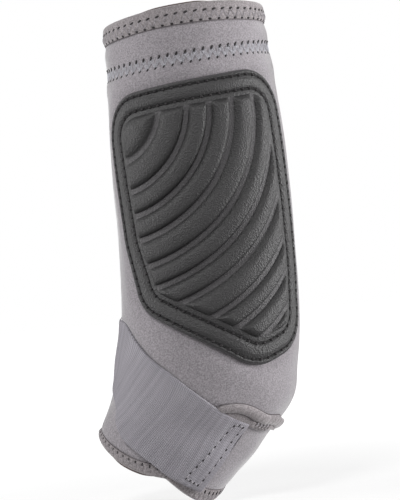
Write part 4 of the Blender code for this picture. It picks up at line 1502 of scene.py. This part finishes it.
def leather_finish():
    """Moulded leatherette: fine pebble grain; paler on the lands between the ribs, partly their own colour
    and partly painted light, and darker on the ribs' slopes, at their ends and in the border's grooves as
    painted shade.
    """
    material, tree, spot = finish("strike_pad_leatherette")
    fine = noise(tree, spot, LEATHER_GRAIN, 3.0)
    broad = noise(tree, spot, 55.0, 4.0)
    puff = add(tree, "ShaderNodeAttribute", attribute_name="puff").outputs["Fac"]
    # Painted shade: darkest where a rib slopes down to a land or fades at its end, lighter towards its
    # crown; the pale land tone is partly its own colour and partly painted light.
    tone = ramp(tree, puff, (
        (0.0, tint(58, 56, 58)), (0.12, tint(23, 22, 23)), (0.45, tint(25, 24, 25)),
        (0.80, tint(32, 31, 32)), (1.0, tint(40, 39, 40)),
    ))
    wear = ramp(tree, reckon(tree, "ADD", broad, fine), ((0.70, grey(0.72)), (1.0, grey(1.0))))
    grain = reckon(tree, "MULTIPLY_ADD", fine, 0.5, cells(tree, spot, LEATHER_PEBBLES))
    low, high = LEATHER_ROUGHNESS
    rough = add(tree, "ShaderNodeMapRange", {"Value": broad, "To Min": low, "To Max": high})
    values = {"Roughness": rough.outputs["Result"], "Specular IOR Level": 0.4}
    dress(tree, multiply(tree, tone, wear), grain, 0.7, 0.0004, values)
    return material


def elastic_finish():
    """Woven elastic: fine cross ribs along the pattern, and broader soft streaks."""
    material, tree, _ = finish("sling_elastic_weave")
    pattern = add(tree, "ShaderNodeUVMap", uv_map="pattern").outputs["UV"]

    def stretched(scale, detail):
        place = add(tree, "ShaderNodeMapping", {"Vector": pattern, "Scale": scale})
        return noise(tree, place.outputs["Vector"], 1.0, detail, noise_dimensions="2D")

    def bands(direction, wander, detail):
        inputs = {"Vector": pattern, "Scale": ELASTIC_RIBS, "Distortion": wander, "Detail": detail}
        return add(tree, "ShaderNodeTexWave", inputs, bands_direction=direction).outputs["Fac"]

    ribs = bands("X", 0.25, 1.0)
    streaks = stretched((330.0, 14.0, 1.0), 3.0)
    yarn = stretched((500.0, 1600.0, 1.0), 2.0)
    base = ramp(tree, streaks, ((0.32, tint(141, 138, 144)), (0.66, tint(152, 149, 155))))
    weave = reckon(tree, "MULTIPLY_ADD", bands("Y", 0.3, 2.0), 0.4, ribs)
    dark = ramp(tree, weave, ((0.1, grey(0.62)), (0.8, grey(1.0))))
    height = reckon(tree, "MULTIPLY_ADD", yarn, 0.35, ribs)
    dress(tree, multiply(tree, base, dark), height, 0.5, 0.0003, ELASTIC)
    return material


def thread_finish(name, low, high):
    """Twisted thread."""
    material, tree, spot = finish(name)
    twist = noise(tree, spot, THREAD_GRAIN, 2.0)
    dress(tree, ramp(tree, twist, ((0.3, low), (0.7, high))), twist, 0.4, 0.0002, THREAD)
    return material


def pile_finish(name, low, high, scale, depth):
    """Hook or loop pile: a dense field of small tufts."""
    material, tree, spot = finish(name)
    tufts = cells(tree, spot, scale)
    fuzz = reckon(tree, "MULTIPLY_ADD", noise(tree, spot, scale * 1.7, 3.0), 0.5, tufts)
    dress(tree, ramp(tree, tufts, ((0.1, high), (0.6, low))), fuzz, 0.8, depth, PILE)
    return material


# The studio


def show(name, data):
    """Put a camera, lamp or mesh into the scene."""
    thing = bpy.data.objects.new(name, data)
    bpy.context.scene.collection.objects.link(thing)
    return thing


def make_camera():
    """A camera at the photograph's angle."""
    data = bpy.data.cameras.new("camera")
    data.sensor_fit = "AUTO"
    data.sensor_width = 36.0
    data.lens = CAMERA_LENS
    camera = show("camera", data)
    camera.matrix_world = Matrix.Translation(CAMERA_PLACE) @ Matrix(CAMERA_TURN).to_4x4()
    bpy.context.scene.camera = camera


def make_light():
    """Soft lamps and an even world, which shows as white where it is seen."""
    world = bpy.data.worlds.new("studio_world")
    world.use_nodes = True
    tree = world.node_tree
    tree.nodes.clear()
    path = add(tree, "ShaderNodeLightPath").outputs
    seen = reckon(tree, "MAXIMUM", path["Is Camera Ray"], path["Is Glossy Ray"])
    seen = reckon(tree, "MAXIMUM", seen, path["Is Transmission Ray"])
    strength = add(tree, "ShaderNodeMapRange", {"Value": seen, "To Min": WORLD_LIGHT, "To Max": 1.0})
    inputs = {"Color": grey(1), "Strength": strength.outputs["Result"]}
    light = add(tree, "ShaderNodeBackground", inputs)
    add(tree, "ShaderNodeOutputWorld", {"Surface": light.outputs[0]})
    bpy.context.scene.world = world

    for name, place, size, power in STUDIO_LIGHTS:
        lamp = bpy.data.lights.new(name, "AREA")
        lamp.shape = "DISK"
        lamp.size = size
        lamp.energy = power
        aim = Vector(LIGHT_AIM) - Vector(place)
        turned = aim.to_track_quat("-Z", "Y").to_matrix().to_4x4()
        show(name, lamp).matrix_world = Matrix.Translation(place) @ turned


def make_floor():
    """A floor of pale paper, brighter to the camera further away from the boot."""
    mesh = bmesh.new()
    bmesh.ops.create_grid(mesh, x_segments=1, y_segments=1, size=FLOOR_SIZE)
    bmesh.ops.translate(mesh, verts=mesh.verts, vec=(0, 0, FLOOR_HEIGHT))
    data = bpy.data.meshes.new("floor")
    mesh.to_mesh(data)
    mesh.free()
    material, tree, place = finish("floor_paper")
    path = add(tree, "ShaderNodeLightPath")
    grain = add(tree, "ShaderNodeTexNoise", {"Scale": FLOOR_GRAIN})
    pulp = ramp(tree, grain.outputs["Fac"], ((0.3, grey(0.78)), (0.7, grey(0.80))))
    paper = add(tree, "ShaderNodeBsdfDiffuse", {"Color": pulp})
    glow = add(tree, "ShaderNodeEmission", {"Color": grey(1), "Strength": FLOOR_STRENGTH})
    away = add(tree, "ShaderNodeVectorMath", {0: place}, operation="LENGTH")
    share = add(tree, "ShaderNodeMapRange", {
        "Value": away.outputs["Value"], "From Min": FLOOR_REACHES[0], "From Max": FLOOR_REACHES[1],
        "To Min": FLOOR_GLOWS[0], "To Max": FLOOR_GLOWS[1],
    })
    part = reckon(tree, "MULTIPLY", path.outputs["Is Camera Ray"], share.outputs["Result"])
    both = add(tree, "ShaderNodeMixShader", {0: part, 1: paper.outputs[0], 2: glow.outputs[0]})
    add(tree, "ShaderNodeOutputMaterial", {"Surface": both.outputs[0]})
    data.materials.append(material)
    show("floor", data)


def main():
    """Make every piece of the boot, its finishes and its studio."""
    bpy.context.scene.view_settings.view_transform = "Standard"
    jersey = knit_finish("grey_jersey", tint(115, 111, 115), tint(153, 148, 152), 1.0)
    tape = knit_finish("grey_edge_tape", tint(112, 107, 108), tint(153, 147, 149), 0.5)
    lining = knit_finish("brown_lining", tint(84, 72, 70), tint(106, 93, 91), 0.3)
    leatherette = leather_finish()
    elastic = elastic_finish()
    light = thread_finish("grey_thread", tint(146, 142, 146), tint(166, 162, 167))
    bright = thread_finish("pale_thread", tint(164, 164, 170), tint(190, 190, 197))
    dark = thread_finish("black_thread", tint(22, 22, 22), tint(34, 33, 34))
    # The needle hole shade is painted shade: the darkness inside the holes, laid on small bodies.
    hole = thread_finish("needle_hole_shade", tint(28, 26, 27), tint(42, 39, 41))
    # The seam shade colours the strips of painted shadow along seams and creases, and also the overlock's
    # rungs and rail.
    line = thread_finish("seam_shade", tint(80, 75, 77), tint(98, 93, 95))
    loop = pile_finish("loop_pile_fuzz", tint(88, 86, 89), tint(120, 117, 121), 1300.0, 0.0006)
    hook = pile_finish("hook_pile_field", tint(60, 60, 63), tint(112, 111, 115), 900.0, 0.0008)

    make_cloth(jersey, lining)
    make_tapes(tape, line, lining)
    make_dart(tape, line)
    make_strap(elastic, hook, loop)
    make_tabs(jersey, hook, loop)
    make_pad_border(leatherette)
    make_pad_ribs(leatherette)
    make_stitching(light, bright, hole)
    make_pad_stitching(dark, hole)
    make_strap_stitching(light, hole, line)
    make_tab_stitching(light, hole)
    make_camera()
    make_light()
    make_floor()


main()
